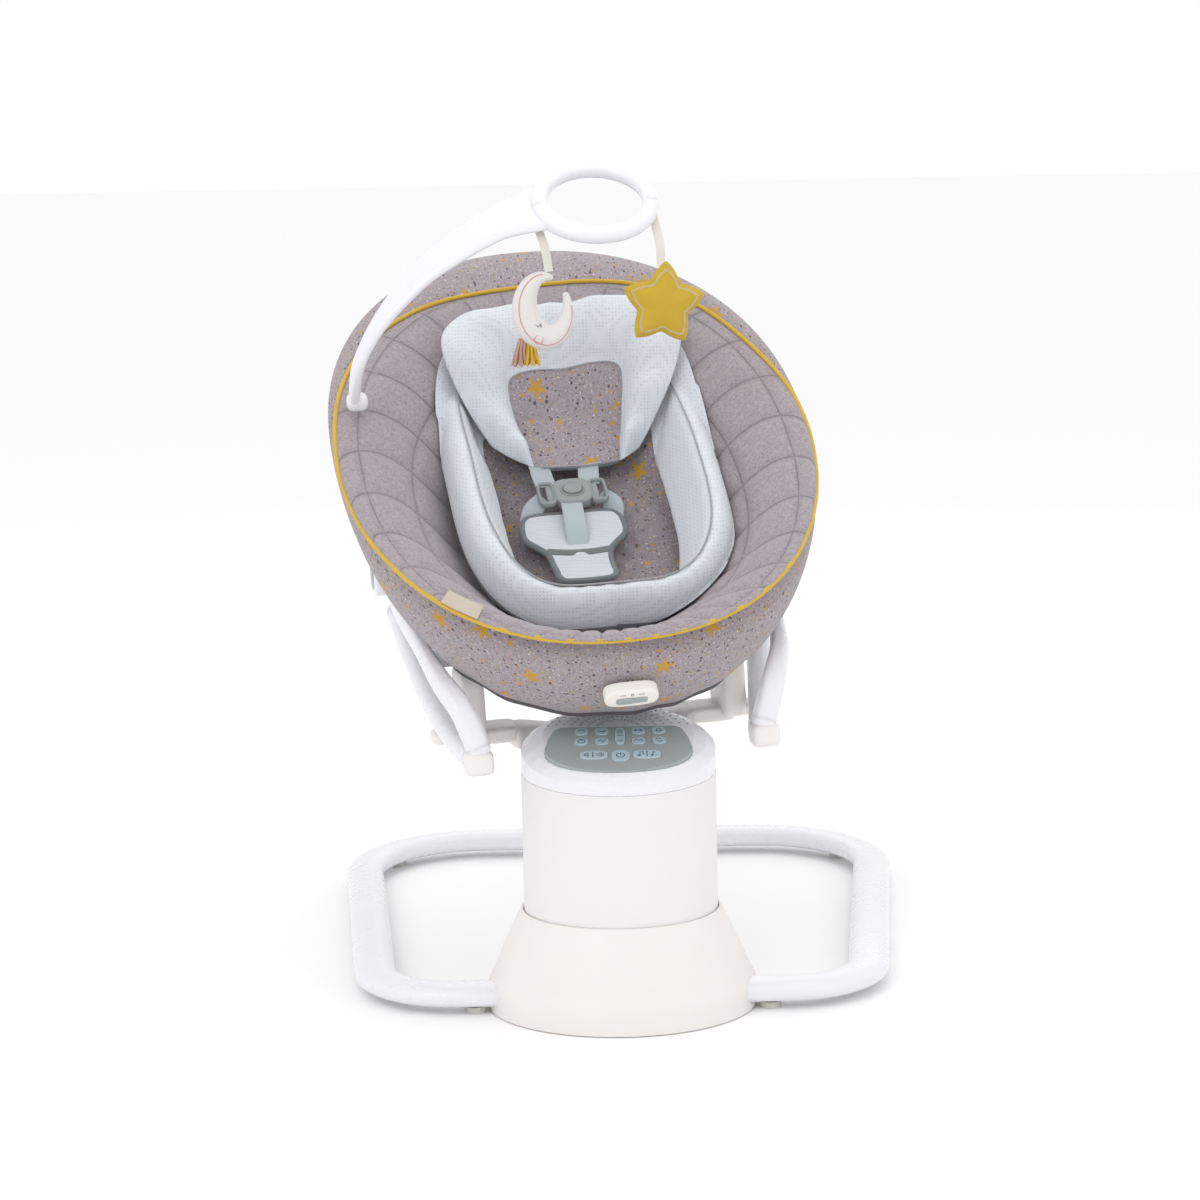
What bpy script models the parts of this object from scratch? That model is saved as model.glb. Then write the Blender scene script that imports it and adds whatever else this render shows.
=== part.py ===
"""Baby swing: a bucket seat on a rocker stand, held by the swing arm of a motor tower.

Metres, +Z up. The origin is on the floor on the tower's axis, and the swing faces -Y. Everything that
swings is drawn facing straight ahead and is then turned by SWING_REST about the drive shaft. The shaft
leans forward, so a swing to one side also banks the seat a little. Seat pieces are drawn in the plane of the seat's rim: x across, y up towards the head, z out of the bowl.
"""
import math

import bmesh
import bpy
from mathutils import Matrix, Vector

# ------------------------------------------------------------------ driving dimensions
GAP = 0.0004                     # clearance between pieces that touch

OVAL = 0.868                     # depth of the tower's oval over its width
COLUMN_R = 0.1135
COLUMN_WALL = 0.003
COLUMN_LOW, SEAM_Z, SEAM_SLOPE = 0.0042, 0.279, 0.08
CAP_Z, CAP_SLOPE, CAP_RISE = 0.305, 0.25, 0.020
SKIRT_R, SKIRT_TOP = 0.159, 0.116
PLATE_THICK = 0.0035

PANEL_TILT = math.radians(18.6)
PANEL_ORIGIN = Vector((0.0, -0.0375, 0.3136))
PANEL_HALF, PANEL_LOW, PANEL_HIGH = 0.085, 0.0495, 0.0480
PANEL_THICK = 0.0075

RAIL_W, RAIL_H, RAIL_Z = 0.049, 0.027, 0.0215
RAIL_FRONT_Y, RAIL_BACK_Y, RAIL_FRONT_X, RAIL_BACK_X = -0.030, 0.674, 0.287, 0.359
FOOT_R = 0.013

SHAFT_MID = Vector((0.008, 0.0204, 0.174))      # the middle of the drive shaft
SHAFT_LEAN = math.radians(15.0)
SWING_REST = math.radians(10.0)
SHAFT_R = 0.010
GEAR_MODULE, GEAR_TEETH, PINION_TEETH = 0.0015, 48, 12
GEAR_Z, GEAR_FACE = -0.076, 0.008             # drive heights are along the shaft, from its middle
MOTOR_REACH = GEAR_MODULE * (GEAR_TEETH + PINION_TEETH) / 2
ROD_X, ROD_Y, ROD_R = 0.026, 0.030, 0.005
CARRIAGE_LOW, CARRIAGE_HIGH = -0.009, 0.031

SEAT_INCLINE = math.radians(33.0)
SEAT_CENTRE = Vector((0.0, 0.2375, 0.660))
SEAT_A, SEAT_B = 0.292, 0.372    # half width and half length of the rim
SEAT_POWER = 2.2                 # the rim's outline is a superellipse
BOWL_DEPTH, BOWL_SHIFT = 0.185, 0.150
LINING_DEPTH, LINING_SHIFT = 0.150, 0.100

HUB_Y, HUB_Z = 0.280, 0.488      # the recline axis, straight ahead
HUB_X, HUB_R, HUB_WIDTH = 0.236, 0.0265, 0.030
RUNNER_R = 0.014

TOY_ROOT = Vector((-0.258, 0.055, 0.012))
TOY_RING = Vector((0.047, 0.140, 0.226))
TOY_RING_R, TOY_HOLE_R = 0.0775, 0.058
MOON_HANG = Vector((-0.027, 0.190, 0.890))
STAR_HANG = Vector((0.112, 0.175, 0.897))

COLOURS = {
    "white_plastic": ((0.84, 0.84, 0.85), 0.35, 0.0), "cream_plastic": ((0.86, 0.84, 0.81), 0.40, 0.0),
    "grey_plastic": ((0.45, 0.47, 0.47), 0.45, 0.0), "key_blue": ((0.50, 0.58, 0.62), 0.50, 0.0),
    "rubber": ((0.78, 0.76, 0.72), 0.75, 0.0), "steel": ((0.62, 0.63, 0.65), 0.30, 1.0),
    "bronze": ((0.60, 0.45, 0.25), 0.35, 1.0),
    "gear_nylon": ((0.82, 0.80, 0.72), 0.55, 0.0), "motor_steel": ((0.40, 0.41, 0.43), 0.40, 1.0),
    "board_green": ((0.06, 0.25, 0.14), 0.50, 0.0), "cell_black": ((0.10, 0.10, 0.11), 0.40, 0.0),
    "quilt_fabric": ((0.42, 0.38, 0.39), 0.95, 0.0), "mesh_fabric": ((0.72, 0.75, 0.78), 0.90, 0.0),
    "pad_fabric": ((0.45, 0.47, 0.48), 0.90, 0.0), "webbing": ((0.55, 0.59, 0.61), 0.85, 0.0),
    "buckle_grey": ((0.42, 0.44, 0.43), 0.45, 0.0), "toy_yellow": ((0.72, 0.56, 0.13), 0.85, 0.0),
    "toy_cream": ((0.78, 0.76, 0.72), 0.95, 0.0),
}


# ------------------------------------------------------------------ scene helpers
def clear_scene():
    for obj in list(bpy.data.objects):
        bpy.data.objects.remove(obj, do_unlink=True)


def collection(name):
    made = bpy.data.collections.new(name)
    bpy.context.scene.collection.children.link(made)
    return made


def material(slot):
    found = bpy.data.materials.get(slot)
    if found:
        return found
    colour, roughness, metallic = COLOURS[slot]
    made = bpy.data.materials.new(slot)
    made.use_nodes = True
    shader = made.node_tree.nodes["Principled BSDF"]
    shader.inputs["Base Color"].default_value = (*colour, 1.0)
    shader.inputs["Roughness"].default_value = roughness
    shader.inputs["Metallic"].default_value = metallic
    return made


def empty(name, place, turn=(0.0, 0.0, 0.0), parent=None):
    made = bpy.data.objects.new(name, None)
    PARTS.objects.link(made)
    made.location = place
    made.rotation_euler = turn
    made.parent = parent
    return made


def add(name, mesh, slot, parent=None, place=(0, 0, 0), turn=(0, 0, 0), smooth=True):
    made = bpy.data.objects.new(name, mesh)
    PARTS.objects.link(made)
    mesh.name = name
    mesh.materials.clear()
    mesh.materials.append(material(slot))
    if smooth:
        mesh.shade_smooth()
        mesh.set_sharp_from_angle(angle=math.radians(35))
    made.parent = parent
    made.location = place
    made.rotation_euler = turn
    return made


# ------------------------------------------------------------------ shapes
def welded(mesh):
    bm = bmesh.new()
    bm.from_mesh(mesh)
    bmesh.ops.remove_doubles(bm, verts=bm.verts, dist=2e-5)
    bmesh.ops.recalc_face_normals(bm, faces=bm.faces)
    bm.to_mesh(mesh)
    bm.free()
    return mesh


def baked(obj, extras=()):
    """The object's evaluated mesh, welded. The object and its helpers are removed."""
    bpy.context.view_layer.update()
    mesh = bpy.data.meshes.new_from_object(obj.evaluated_get(bpy.context.evaluated_depsgraph_get()))
    for used in (obj, *extras):
        bpy.data.objects.remove(used, do_unlink=True)
    return welded(mesh)


def moved(mesh, x=0.0, y=0.0, z=0.0, turn=None):
    matrix = Matrix.Translation((x, y, z))
    if turn:
        matrix = matrix @ Matrix.Rotation(turn[1], 4, turn[0])
    mesh.transform(matrix)
    return mesh


def mirrored(mesh):
    made = mesh.copy()
    made.transform(Matrix.Scale(-1, 4, (1, 0, 0)))
    made.flip_normals()
    return made


def box(width, depth, height, bevel=0.0):
    bm = bmesh.new()
    bmesh.ops.create_cube(bm, size=1.0)
    bmesh.ops.scale(bm, vec=(width, depth, height), verts=bm.verts)
    if bevel:
        bmesh.ops.bevel(bm, geom=bm.edges[:], offset=bevel, segments=2, affect="EDGES", profile=0.5)
    mesh = bpy.data.meshes.new("box")
    bm.to_mesh(mesh)
    bm.free()
    return mesh


def cylinder(radius, length, sides=20):
    bm = bmesh.new()
    bmesh.ops.create_cone(bm, cap_ends=True, segments=sides, radius1=radius, radius2=radius, depth=length)
    mesh = bpy.data.meshes.new("cylinder")
    bm.to_mesh(mesh)
    bm.free()
    return mesh


def turned(profile, steps=28, closed=False):
    """A profile of (radius, height) points, from the outer side's top downwards, turned about Z."""
    count = len(profile)
    edges = [(i, (i + 1) % count) for i in range(count if closed else count - 1)]
    mesh = bpy.data.meshes.new("profile")
    mesh.from_pydata([(r, 0.0, z) for r, z in profile], edges, [])
    obj = bpy.data.objects.new("profile", mesh)
    CUTTERS.objects.link(obj)
    screw = obj.modifiers.new("turn", "SCREW")
    screw.steps = screw.render_steps = steps
    screw.use_merge_vertices = True
    screw.merge_threshold = 0.00005
    return baked(obj)


def oval(mesh):
    mesh.transform(Matrix.Diagonal((1.0, OVAL, 1.0, 1.0)))
    return mesh


def curve(points, radii=None, cyclic=False, flat=False):
    data = bpy.data.curves.new("curve", "CURVE")
    data.dimensions = "2D" if flat else "3D"
    spline = data.splines.new("POLY")
    spline.points.add(len(points) - 1)
    for index, point in enumerate(points):
        spline.points[index].co = (point[0], point[1], 0.0 if flat else point[2], 1.0)
        spline.points[index].radius = radii[index] if radii else 1.0
    spline.use_cyclic_u = cyclic
    return data


def tube(points, radius, radii=None, resolution=2, cyclic=False):
    data = curve(points, radii, cyclic)
    data.bevel_depth = radius
    data.bevel_resolution = resolution
    data.use_fill_caps = True
    obj = bpy.data.objects.new("tube", data)
    CUTTERS.objects.link(obj)
    return baked(obj)


def bar(points, width, height, radii=None, power=2.2, sides=12, tilt=0.0):
    """A bar of a rounded section along a path. Its width lies level where the path does."""
    section = curve(superellipse(width / 2, height / 2, power, sides), cyclic=True, flat=True)
    section_obj = bpy.data.objects.new("section", section)
    CUTTERS.objects.link(section_obj)
    data = curve(points, radii)
    data.twist_mode = "Z_UP"
    data.bevel_mode = "OBJECT"
    data.bevel_object = section_obj
    data.use_fill_caps = True
    for point in data.splines[0].points:
        point.tilt = tilt
    obj = bpy.data.objects.new("bar", data)
    CUTTERS.objects.link(obj)
    return baked(obj, [section_obj])


def plate(outlines, thickness, bevel=0.0):
    """A flat plate about z = 0. Outlines inside the first one are holes."""
    data = curve(outlines[0], cyclic=True, flat=True)
    for outline in outlines[1:]:
        spline = data.splines.new("POLY")
        spline.points.add(len(outline) - 1)
        for index, (x, y) in enumerate(outline):
            spline.points[index].co = (x, y, 0.0, 1.0)
        spline.use_cyclic_u = True
    data.fill_mode = "BOTH"
    data.extrude = thickness / 2 - bevel
    data.bevel_depth = bevel
    data.bevel_resolution = 0
    data.offset = -bevel
    obj = bpy.data.objects.new("plate", data)
    CUTTERS.objects.link(obj)
    return baked(obj)


def boolean(mesh, tools, operation="DIFFERENCE"):
    target = bpy.data.objects.new("target", mesh)
    CUTTERS.objects.link(target)
    used = []
    for tool in tools:
        cutter = bpy.data.objects.new("cutter", tool)
        cutter.hide_render = True
        cutter.display_type = "WIRE"
        CUTTERS.objects.link(cutter)
        used.append(cutter)
        modifier = target.modifiers.new("boolean", "BOOLEAN")
        modifier.operation = operation
        modifier.solver = "EXACT"
        modifier.object = cutter
    return baked(target, used)


def union(*meshes):
    return boolean(meshes[0], meshes[1:], "UNION")


def superellipse(a, b, power=2.0, count=24):
    points = []
    for index in range(count):
        angle = 2 * math.pi * index / count
        c, s = math.cos(angle), math.sin(angle)
        reach = (abs(c) ** power + abs(s) ** power) ** (-1 / power)
        points.append((a * c * reach, b * s * reach))
    return points


def smooth_path(points, steps=4):
    """Points on a Catmull-Rom curve through the given points."""
    knots = [Vector(p) for p in points]
    knots = [knots[0] * 2 - knots[1], *knots, knots[-1] * 2 - knots[-2]]
    made = []
    for a, b, c, d in zip(knots, knots[1:], knots[2:], knots[3:]):
        for step in range(steps):
            t = step / steps
            made.append(0.5 * (2 * b + (c - a) * t + (2 * a - 5 * b + 4 * c - d) * t ** 2
                               + (3 * b - a - 3 * c + d) * t ** 3))
    made.append(knots[-2])
    return made


def rounded_path(corners, radii, steps=6):
    """A path whose inner corners are tangent arcs."""
    corners = [Vector(p) for p in corners]
    made = [corners[0]]
    for before, here, after, radius in zip(corners, corners[1:], corners[2:], radii):
        start, end = (before - here).normalized(), (after - here).normalized()
        half = start.angle(end) / 2
        middle = here + (start + end).normalized() * (radius / math.sin(half))
        first = here + start * (radius / math.tan(half)) - middle
        last = here + end * (radius / math.tan(half)) - middle
        arcs = [first.normalized().slerp(last.normalized(), step / steps) for step in range(steps + 1)]
        made += [middle + arc * radius for arc in arcs]
    made.append(corners[-1])
    return made


def skin(rings):
    """A closed solid between rings of unlike outlines. The first and last rings are its caps."""
    bm = bmesh.new()
    rows = [[bm.verts.new(p) for p in ring] for ring in rings]
    count = len(rows[0])
    for low, high in zip(rows, rows[1:]):
        for i in range(count):
            j = (i + 1) % count
            bm.faces.new((low[i], low[j], high[j], high[i]))
    bm.faces.new(rows[0])
    bm.faces.new(rows[-1])
    mesh = bpy.data.meshes.new("skin")
    bm.to_mesh(mesh)
    bm.free()
    return welded(mesh)


# ------------------------------------------------------------------ base
def build_base():
    corners = [(-0.1300, RAIL_FRONT_Y, RAIL_Z), (-RAIL_FRONT_X, RAIL_FRONT_Y, RAIL_Z),
               (-RAIL_BACK_X, RAIL_BACK_Y, RAIL_Z), (RAIL_BACK_X, RAIL_BACK_Y, RAIL_Z),
               (RAIL_FRONT_X, RAIL_FRONT_Y, RAIL_Z), (0.1300, RAIL_FRONT_Y, RAIL_Z)]
    path = rounded_path(corners, (0.100, 0.155, 0.155, 0.100))
    add("floor_ring", bar(path, RAIL_W, RAIL_H), "white_plastic")

    height = RAIL_Z - RAIL_H / 2 - GAP
    for end, x, y in (("front", 0.172, RAIL_FRONT_Y), ("back", 0.308, 0.630)):
        for side, sign in (("left", -1), ("right", 1)):
            add(f"{end}_foot_{side}", cylinder(FOOT_R, height, 16), "rubber",
                place=(sign * x, y, height / 2))

    hatch = moved(box(0.150, 0.070, 0.020), y=-0.045)
    floor = oval(moved(cylinder(SKIRT_R - 0.0065, PLATE_THICK, 28), z=PLATE_THICK / 2))
    add("base_plate", boolean(floor, [hatch]), "cream_plastic", smooth=False)
    door = boolean(box(0.150 - 2 * GAP, 0.070 - 2 * GAP, 0.003), [moved(cylinder(0.002, 0.02, 10), x=0.068)])
    add("battery_door", door, "cream_plastic", place=(0, -0.045, 0.0019), smooth=False)
    cells = [moved(cylinder(0.0166, 0.058, 16), x=x, turn=("X", math.pi / 2))
             for x in (-0.0492, -0.0164, 0.0164, 0.0492)]
    add("battery_cells", union(*cells), "cell_black", place=(0, -0.045, 0.0215))

    wall = 0.003
    outer = [(COLUMN_R + 0.0010 + wall, SKIRT_TOP), (0.1255, 0.100), (0.1385, 0.072), (0.1505, 0.044),
             (0.1575, 0.028), (SKIRT_R, 0.012), (SKIRT_R, 0.0012)]
    inner = [(r - wall, z) for r, z in reversed(outer)]
    skirt = oval(turned(outer + inner, closed=True))
    sockets = [moved(box(0.06, RAIL_W + 0.0012, RAIL_H + 0.0012), x=side * 0.155, y=RAIL_FRONT_Y, z=RAIL_Z)
               for side in (-1, 1)]
    jack_hole = moved(cylinder(0.0080, 0.04, 16), y=0.135, z=0.030, turn=("X", math.pi / 2))
    add("base_skirt", boolean(skirt, [*sockets, jack_hole]), "cream_plastic")
    jack = boolean(cylinder(0.0075, 0.022, 16), [moved(cylinder(0.0032, 0.018, 12), z=0.005)])
    add("power_socket", moved(jack, turn=("X", -math.pi / 2)), "cell_black", place=(0, 0.1265, 0.030))


# ------------------------------------------------------------------ tower
def seam_box(lift, up):
    """Everything above, or below, the slanted plane where the column meets its cap."""
    block = box(0.4, 0.4, 0.4)
    block.transform(Matrix.Translation((0, 0, SEAM_Z + lift)) @ Matrix.Rotation(math.atan(SEAM_SLOPE), 4, "X")
                    @ Matrix.Translation((0, 0, 0.2 if up else -0.2)))
    return block


def dome(radius, drop, low):
    """The cap's outer or inner solid: a soft-shouldered disc, tilted with the cap."""
    shares = (0.0, 0.35, 0.60, 0.78, 0.90, 0.96, 0.99, 1.0)
    profile = [(radius * share, CAP_Z + CAP_RISE * (1 - share ** 6) - drop) for share in shares]
    solid = oval(turned([*profile, (radius, low), (0.0, low)]))
    for vertex in solid.vertices:
        vertex.co.z += CAP_SLOPE * vertex.co.y
    return solid


def panel_outline(grow=0.0):
    """A D: a flat upper edge, full sides and a curved lower edge."""
    half, low, high = PANEL_HALF + grow, PANEL_LOW + grow, PANEL_HIGH + grow
    points = [(half * math.cos(a), low * math.sin(a))
              for a in (math.pi + math.pi * i / 18 for i in range(19))]
    points += [(half - 0.004, 0.022), (half - 0.011, high - 0.006), (half - 0.019, high)]
    points += [(-half + 0.019, high), (-half + 0.011, high - 0.006), (-half + 0.004, 0.022)]
    return points


# name: place across and up the panel, half width, half height, outline power
KEYS = {}
for column_x in (-0.0425, -0.0190, 0.0235, 0.0472):
    for row_y in (0.0370, 0.0150):
        KEYS[f"motion_button_{len(KEYS) + 1}"] = (column_x, row_y, 0.0084, 0.0078, 2.6)
KEYS["speed_button"] = (0.0022, 0.0260, 0.0062, 0.0185, 4.0)
KEYS["volume_button"] = (-0.0285, -0.0150, 0.0165, 0.0092, 3.4)
KEYS["power_button"] = (0.0022, -0.0170, 0.0108, 0.0120, 3.4)
KEYS["music_button"] = (0.0325, -0.0150, 0.0165, 0.0092, 3.4)


def build_tower():
    wall = [(COLUMN_R, 0.32), (COLUMN_R, COLUMN_LOW), (COLUMN_R - COLUMN_WALL, COLUMN_LOW),
            (COLUMN_R - COLUMN_WALL, 0.32)]
    slot = moved(box(0.150, 0.070, 0.104), y=0.100, z=0.205)
    column = boolean(oval(turned(wall, closed=True)), [seam_box(0.0, True), slot])
    add("column_shell", column, "white_plastic")

    shell = boolean(dome(COLUMN_R, 0.0, 0.20), [dome(COLUMN_R - 0.003, 0.0035, 0.19)])
    pocket = moved(plate([panel_outline(GAP)], 0.030), z=0.015 - PANEL_THICK - GAP)
    frame = Matrix.Translation(PANEL_ORIGIN) @ Matrix.Rotation(PANEL_TILT, 4, "X")
    pocket.transform(frame)
    add("top_cap", boolean(shell, [seam_box(GAP, False), pocket]), "white_plastic")
    add("speaker", cylinder(0.022, 0.010, 20), "cell_black", place=(0, 0.050, 0.313),
        turn=(math.atan(CAP_SLOPE), 0, 0))

    panel_axis = empty("panel_frame", PANEL_ORIGIN, (PANEL_TILT, 0, 0))
    holes = [[(x + px, y + py) for px, py in superellipse(a + GAP, b + GAP, power, 12)]
             for x, y, a, b, power in KEYS.values()]
    add("control_panel", plate([panel_outline(), *holes], PANEL_THICK), "grey_plastic", panel_axis,
        (0, 0, -PANEL_THICK / 2), smooth=False)
    for name, (x, y, a, b, power) in KEYS.items():
        add(name, plate([superellipse(a, b, power, 12)], 0.0085, 0.0006), "key_blue", panel_axis,
            (x, y, -0.0030))
    add("circuit_board", box(0.124, 0.068, 0.0016), "board_green", panel_axis, (0, 0.006, -0.0115),
        smooth=False)


# ------------------------------------------------------------------ drive
def gear_outline(teeth):
    """Straight-sided teeth about the pitch circle, thinned for backlash."""
    pitch = teeth * GEAR_MODULE / 2
    root, tip = pitch - 1.2 * GEAR_MODULE, pitch + 0.85 * GEAR_MODULE
    step = 2 * math.pi / teeth
    points = []
    for tooth in range(teeth):
        for radius, share in ((root, -0.33), (tip, -0.12), (tip, 0.12), (root, 0.33)):
            angle = step * (tooth + share)
            points.append((radius * math.cos(angle), radius * math.sin(angle)))
    return points


def build_drive(drive, shaft, lift):
    low, high = -0.0895, 0.0910
    spindle_hole = superellipse(0.0150 + GAP, 0.0150 + GAP, 2.0, 20)
    shaft_hole = superellipse(SHAFT_R + GAP, SHAFT_R + GAP, 2.0, 20)
    pinion_hole = shifted(superellipse(0.0045, 0.0045, 2.0, 12), 0, -MOTOR_REACH)
    lower = plate([shifted(superellipse(0.062, 0.048, 3.0), 0, -0.008), spindle_hole, pinion_hole], 0.005)
    upper = plate([shifted(superellipse(0.060, 0.036, 3.0), 0, -0.016), shaft_hole], 0.004)
    posts = [moved(cylinder(0.005, high - low, 10), x=x, y=-0.030, z=(high - low) / 2)
             for x in (-0.050, 0.050)]
    add("drive_chassis", union(lower, moved(upper, z=high - low), *posts), "motor_steel", drive,
        (0, 0, low))
    add("spindle_bearing", boolean(cylinder(0.0150, 0.007), [cylinder(SHAFT_R + GAP, 0.02)]), "bronze",
        drive, (0, 0, low))
    motor = boolean(cylinder(0.018, 0.034, 20), [moved(cylinder(0.0025, 0.03, 10), z=0.008)])
    add("swing_motor", motor, "motor_steel", drive, (0, -MOTOR_REACH, low - 0.0200))

    pinion_axis = empty("pinion_axis", (0, -MOTOR_REACH, GEAR_Z), parent=drive)
    stub = moved(cylinder(0.0020, 0.034, 10), z=-0.013)
    # the gear has a tooth towards the pinion, so the pinion is turned by half a tooth
    pinion = moved(plate([gear_outline(PINION_TEETH)], GEAR_FACE + 0.001), turn=("Z", math.pi / PINION_TEETH))
    add("motor_pinion", union(pinion, stub), "bronze", pinion_axis, smooth=False)

    add("swing_shaft", cylinder(SHAFT_R, 0.190, 20), "steel", shaft)
    bore = superellipse(SHAFT_R + GAP, SHAFT_R + GAP, 2.0, 20)
    gear = moved(plate([gear_outline(GEAR_TEETH), bore], GEAR_FACE), turn=("Z", -SWING_REST))
    add("swing_gear", gear, "gear_nylon", shaft, (0, 0, GEAR_Z), smooth=False)
    decks = [moved(box(0.076, 0.056, 0.006), y=0.012, z=z) for z in (-0.062, 0.082)]
    rods = [moved(cylinder(ROD_R, 0.144, 12), x=x, y=ROD_Y, z=0.010) for x in (-ROD_X, ROD_X)]
    frame = boolean(union(decks[0], *rods, decks[1]), [cylinder(SHAFT_R + GAP, 0.4)])
    add("guide_frame", frame, "steel", shaft)

    block = moved(box(0.084, 0.060, CARRIAGE_HIGH - CARRIAGE_LOW, 0.003), y=0.017,
                  z=(CARRIAGE_LOW + CARRIAGE_HIGH) / 2)
    bores = [moved(cylinder(ROD_R + GAP, 0.1, 12), x=x, y=ROD_Y) for x in (-ROD_X, ROD_X)]
    add("lift_carriage", boolean(block, [*bores, cylinder(SHAFT_R + 0.001, 0.1)]), "gear_nylon", shaft)

    arm = bar(smooth_path([(0, 0.0745, 0.192), (0, 0.094, 0.190), (0, 0.118, 0.205), (0, 0.138, 0.245),
                           (0, 0.150, 0.290)]), 0.060, 0.030, power=2.8)
    flare = bar(smooth_path([(-0.100, 0.150, 0.300), (0, 0.150, 0.286), (0.100, 0.150, 0.300)]),
                0.060, 0.032, power=2.8)
    add("swing_arm", union(arm, flare), "cream_plastic", lift)
    for side, sign in (("left", -1), ("right", 1)):
        post = moved(box(0.032, 0.086, 0.086, 0.008), x=sign * 0.1585, y=0.150, z=0.3440)
        lip = moved(box(0.060, 0.050, 0.0140, 0.003), x=sign * 0.1770, y=0.152, z=0.3065)
        nose = moved(box(0.060, 0.060, 0.020, 0.004), x=sign * 0.1320, y=0.150, z=0.3060)
        arm_end = moved(box(0.0305, 0.2, 0.2), x=sign * 0.0875, y=0.150, z=0.3060)
        add(f"cradle_saddle_{side}", boolean(union(post, lip, nose), [arm_end]), "cream_plastic", lift)


# ------------------------------------------------------------------ rocker
def build_rocker(rocker):
    runner = smooth_path([(0.2240, 0.258, 0.4440), (0.214, 0.215, 0.398), (0.200, 0.150, 0.349),
                          (0.184, 0.080, 0.317), (0.1700, 0.0230, 0.3050)])
    strut = smooth_path([(0.2340, 0.2500, 0.4760), (0.227, 0.190, 0.450), (0.214, 0.110, 0.422),
                         (0.202, 0.045, 0.396), (0.184, 0.006, 0.367), (0.1690, -0.0020, 0.3240)], 3)
    runner_mesh = tube(runner, RUNNER_R)
    strut_mesh = bar(strut, 0.014, 0.032, power=3.0)
    cap = box(0.034, 0.034, 0.028, 0.008)
    hub = turned([(0.0, HUB_WIDTH / 2), (HUB_R - 0.004, HUB_WIDTH / 2), (HUB_R, HUB_WIDTH / 2 - 0.004),
                  (HUB_R, -HUB_WIDTH / 2), (0.0, -HUB_WIDTH / 2)], 24)
    hub = moved(hub, turn=("Y", math.pi / 2))
    for side, sign in (("left", -1), ("right", 1)):
        pair = [mesh.copy() if sign > 0 else mirrored(mesh) for mesh in (runner_mesh, strut_mesh, hub)]
        add(f"runner_{side}", pair[0], "white_plastic", rocker)
        add(f"strut_{side}", pair[1], "white_plastic", rocker)
        add(f"hub_{side}", pair[2], "key_blue", rocker, (sign * HUB_X, HUB_Y, HUB_Z))
        add(f"tip_cap_{side}", cap.copy(), "cream_plastic", rocker, (sign * 0.1690, 0.0010, 0.3050))
    cross = boolean(moved(cylinder(0.011, 0.42, 16), turn=("Y", math.pi / 2), y=0.214, z=0.389),
                    [tube(runner, RUNNER_R + GAP), mirrored(tube(runner, RUNNER_R + GAP)),
                     moved(box(0.1, 0.2, 0.2), x=0.262, y=0.2, z=0.4), moved(box(0.1, 0.2, 0.2), x=-0.262, y=0.2, z=0.4)])
    add("cross_tube", cross, "white_plastic", rocker)


def to_rim(point):
    """A point of the straight-ahead frame, in the rim's plane."""
    return Matrix.Rotation(-SEAT_INCLINE, 3, "X") @ (Vector(point) - SEAT_CENTRE)


# ------------------------------------------------------------------ seat
def smoothstep(t):
    t = min(1.0, max(0.0, t))
    return t * t * (3 - 2 * t)


def lining_drop(share):
    """How far the lining lies below the rim, where share is 1 at the rim and 0 at its deepest."""
    return -LINING_DEPTH * smoothstep(((1 - share) / 0.7) ** 1.3)


def lining_height(x, y):
    """The lining's height over a point of the rim's plane."""
    low, high = 0.001, 1.0
    for _ in range(24):
        share = (low + high) / 2
        shift = LINING_SHIFT * math.sqrt(1 - share * share)
        reach = (abs(x) / (SEAT_A * share)) ** SEAT_POWER + (abs(y + shift) / (SEAT_B * share)) ** SEAT_POWER
        if reach > 1:
            low = share
        else:
            high = share
    return lining_drop(high)


def bowl_ring(share, shift, height, count=32):
    return [(x, y - shift, height)
            for x, y in superellipse(SEAT_A * share, SEAT_B * share, SEAT_POWER, count)]


def pad(outline, top, bottom, rings=(0.25, 0.5, 0.72, 0.88, 0.97), centre=(0.0, 0.0)):
    """A cushion over an outline, between a top and a bottom height given over the rim's plane."""
    def ring(share, height):
        places = [(centre[0] + (x - centre[0]) * share, centre[1] + (y - centre[1]) * share) for x, y in outline]
        return [(x, y, height(x, y)) for x, y in places]
    edge = [(x, y, (top(x, y) + bottom(x, y)) / 2) for x, y in outline]
    return skin([ring(s, bottom) for s in rings] + [edge] + [ring(s, top) for s in reversed(rings)])


def shifted(outline, x, y):
    return [(px + x, py + y) for px, py in outline]


SUPPORT_MID, SUPPORT_A, SUPPORT_B = (0.013, -0.030), 0.175, 0.250
SUPPORT_OUTLINE = shifted(superellipse(SUPPORT_A, SUPPORT_B, 2.8, 32), *SUPPORT_MID)
HEAD_MID, HEAD_A, HEAD_B = (0.016, 0.135), 0.148, 0.112


def head_taper(y):
    """The head support narrows towards the harness."""
    return 1 - 2.4 * max(0.0, HEAD_MID[1] - y)


HEAD_OUTLINE = [(x * head_taper(y + HEAD_MID[1]) + HEAD_MID[0], y + HEAD_MID[1])
                for x, y in superellipse(HEAD_A, HEAD_B, 2.4, 28)]
CROTCH_OUTLINE = [(-0.008 + side * x, y) for side, route in
                  ((1, ((0.050, -0.066), (0.060, -0.075), (0.061, -0.102), (0.050, -0.118), (0.037, -0.132),
                        (0.034, -0.180), (0.026, -0.190))),
                   (-1, ((0.026, -0.190), (0.034, -0.180), (0.037, -0.132), (0.050, -0.118),
                         (0.061, -0.102), (0.060, -0.075), (0.050, -0.066))))
                  for x, y in route]


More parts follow.
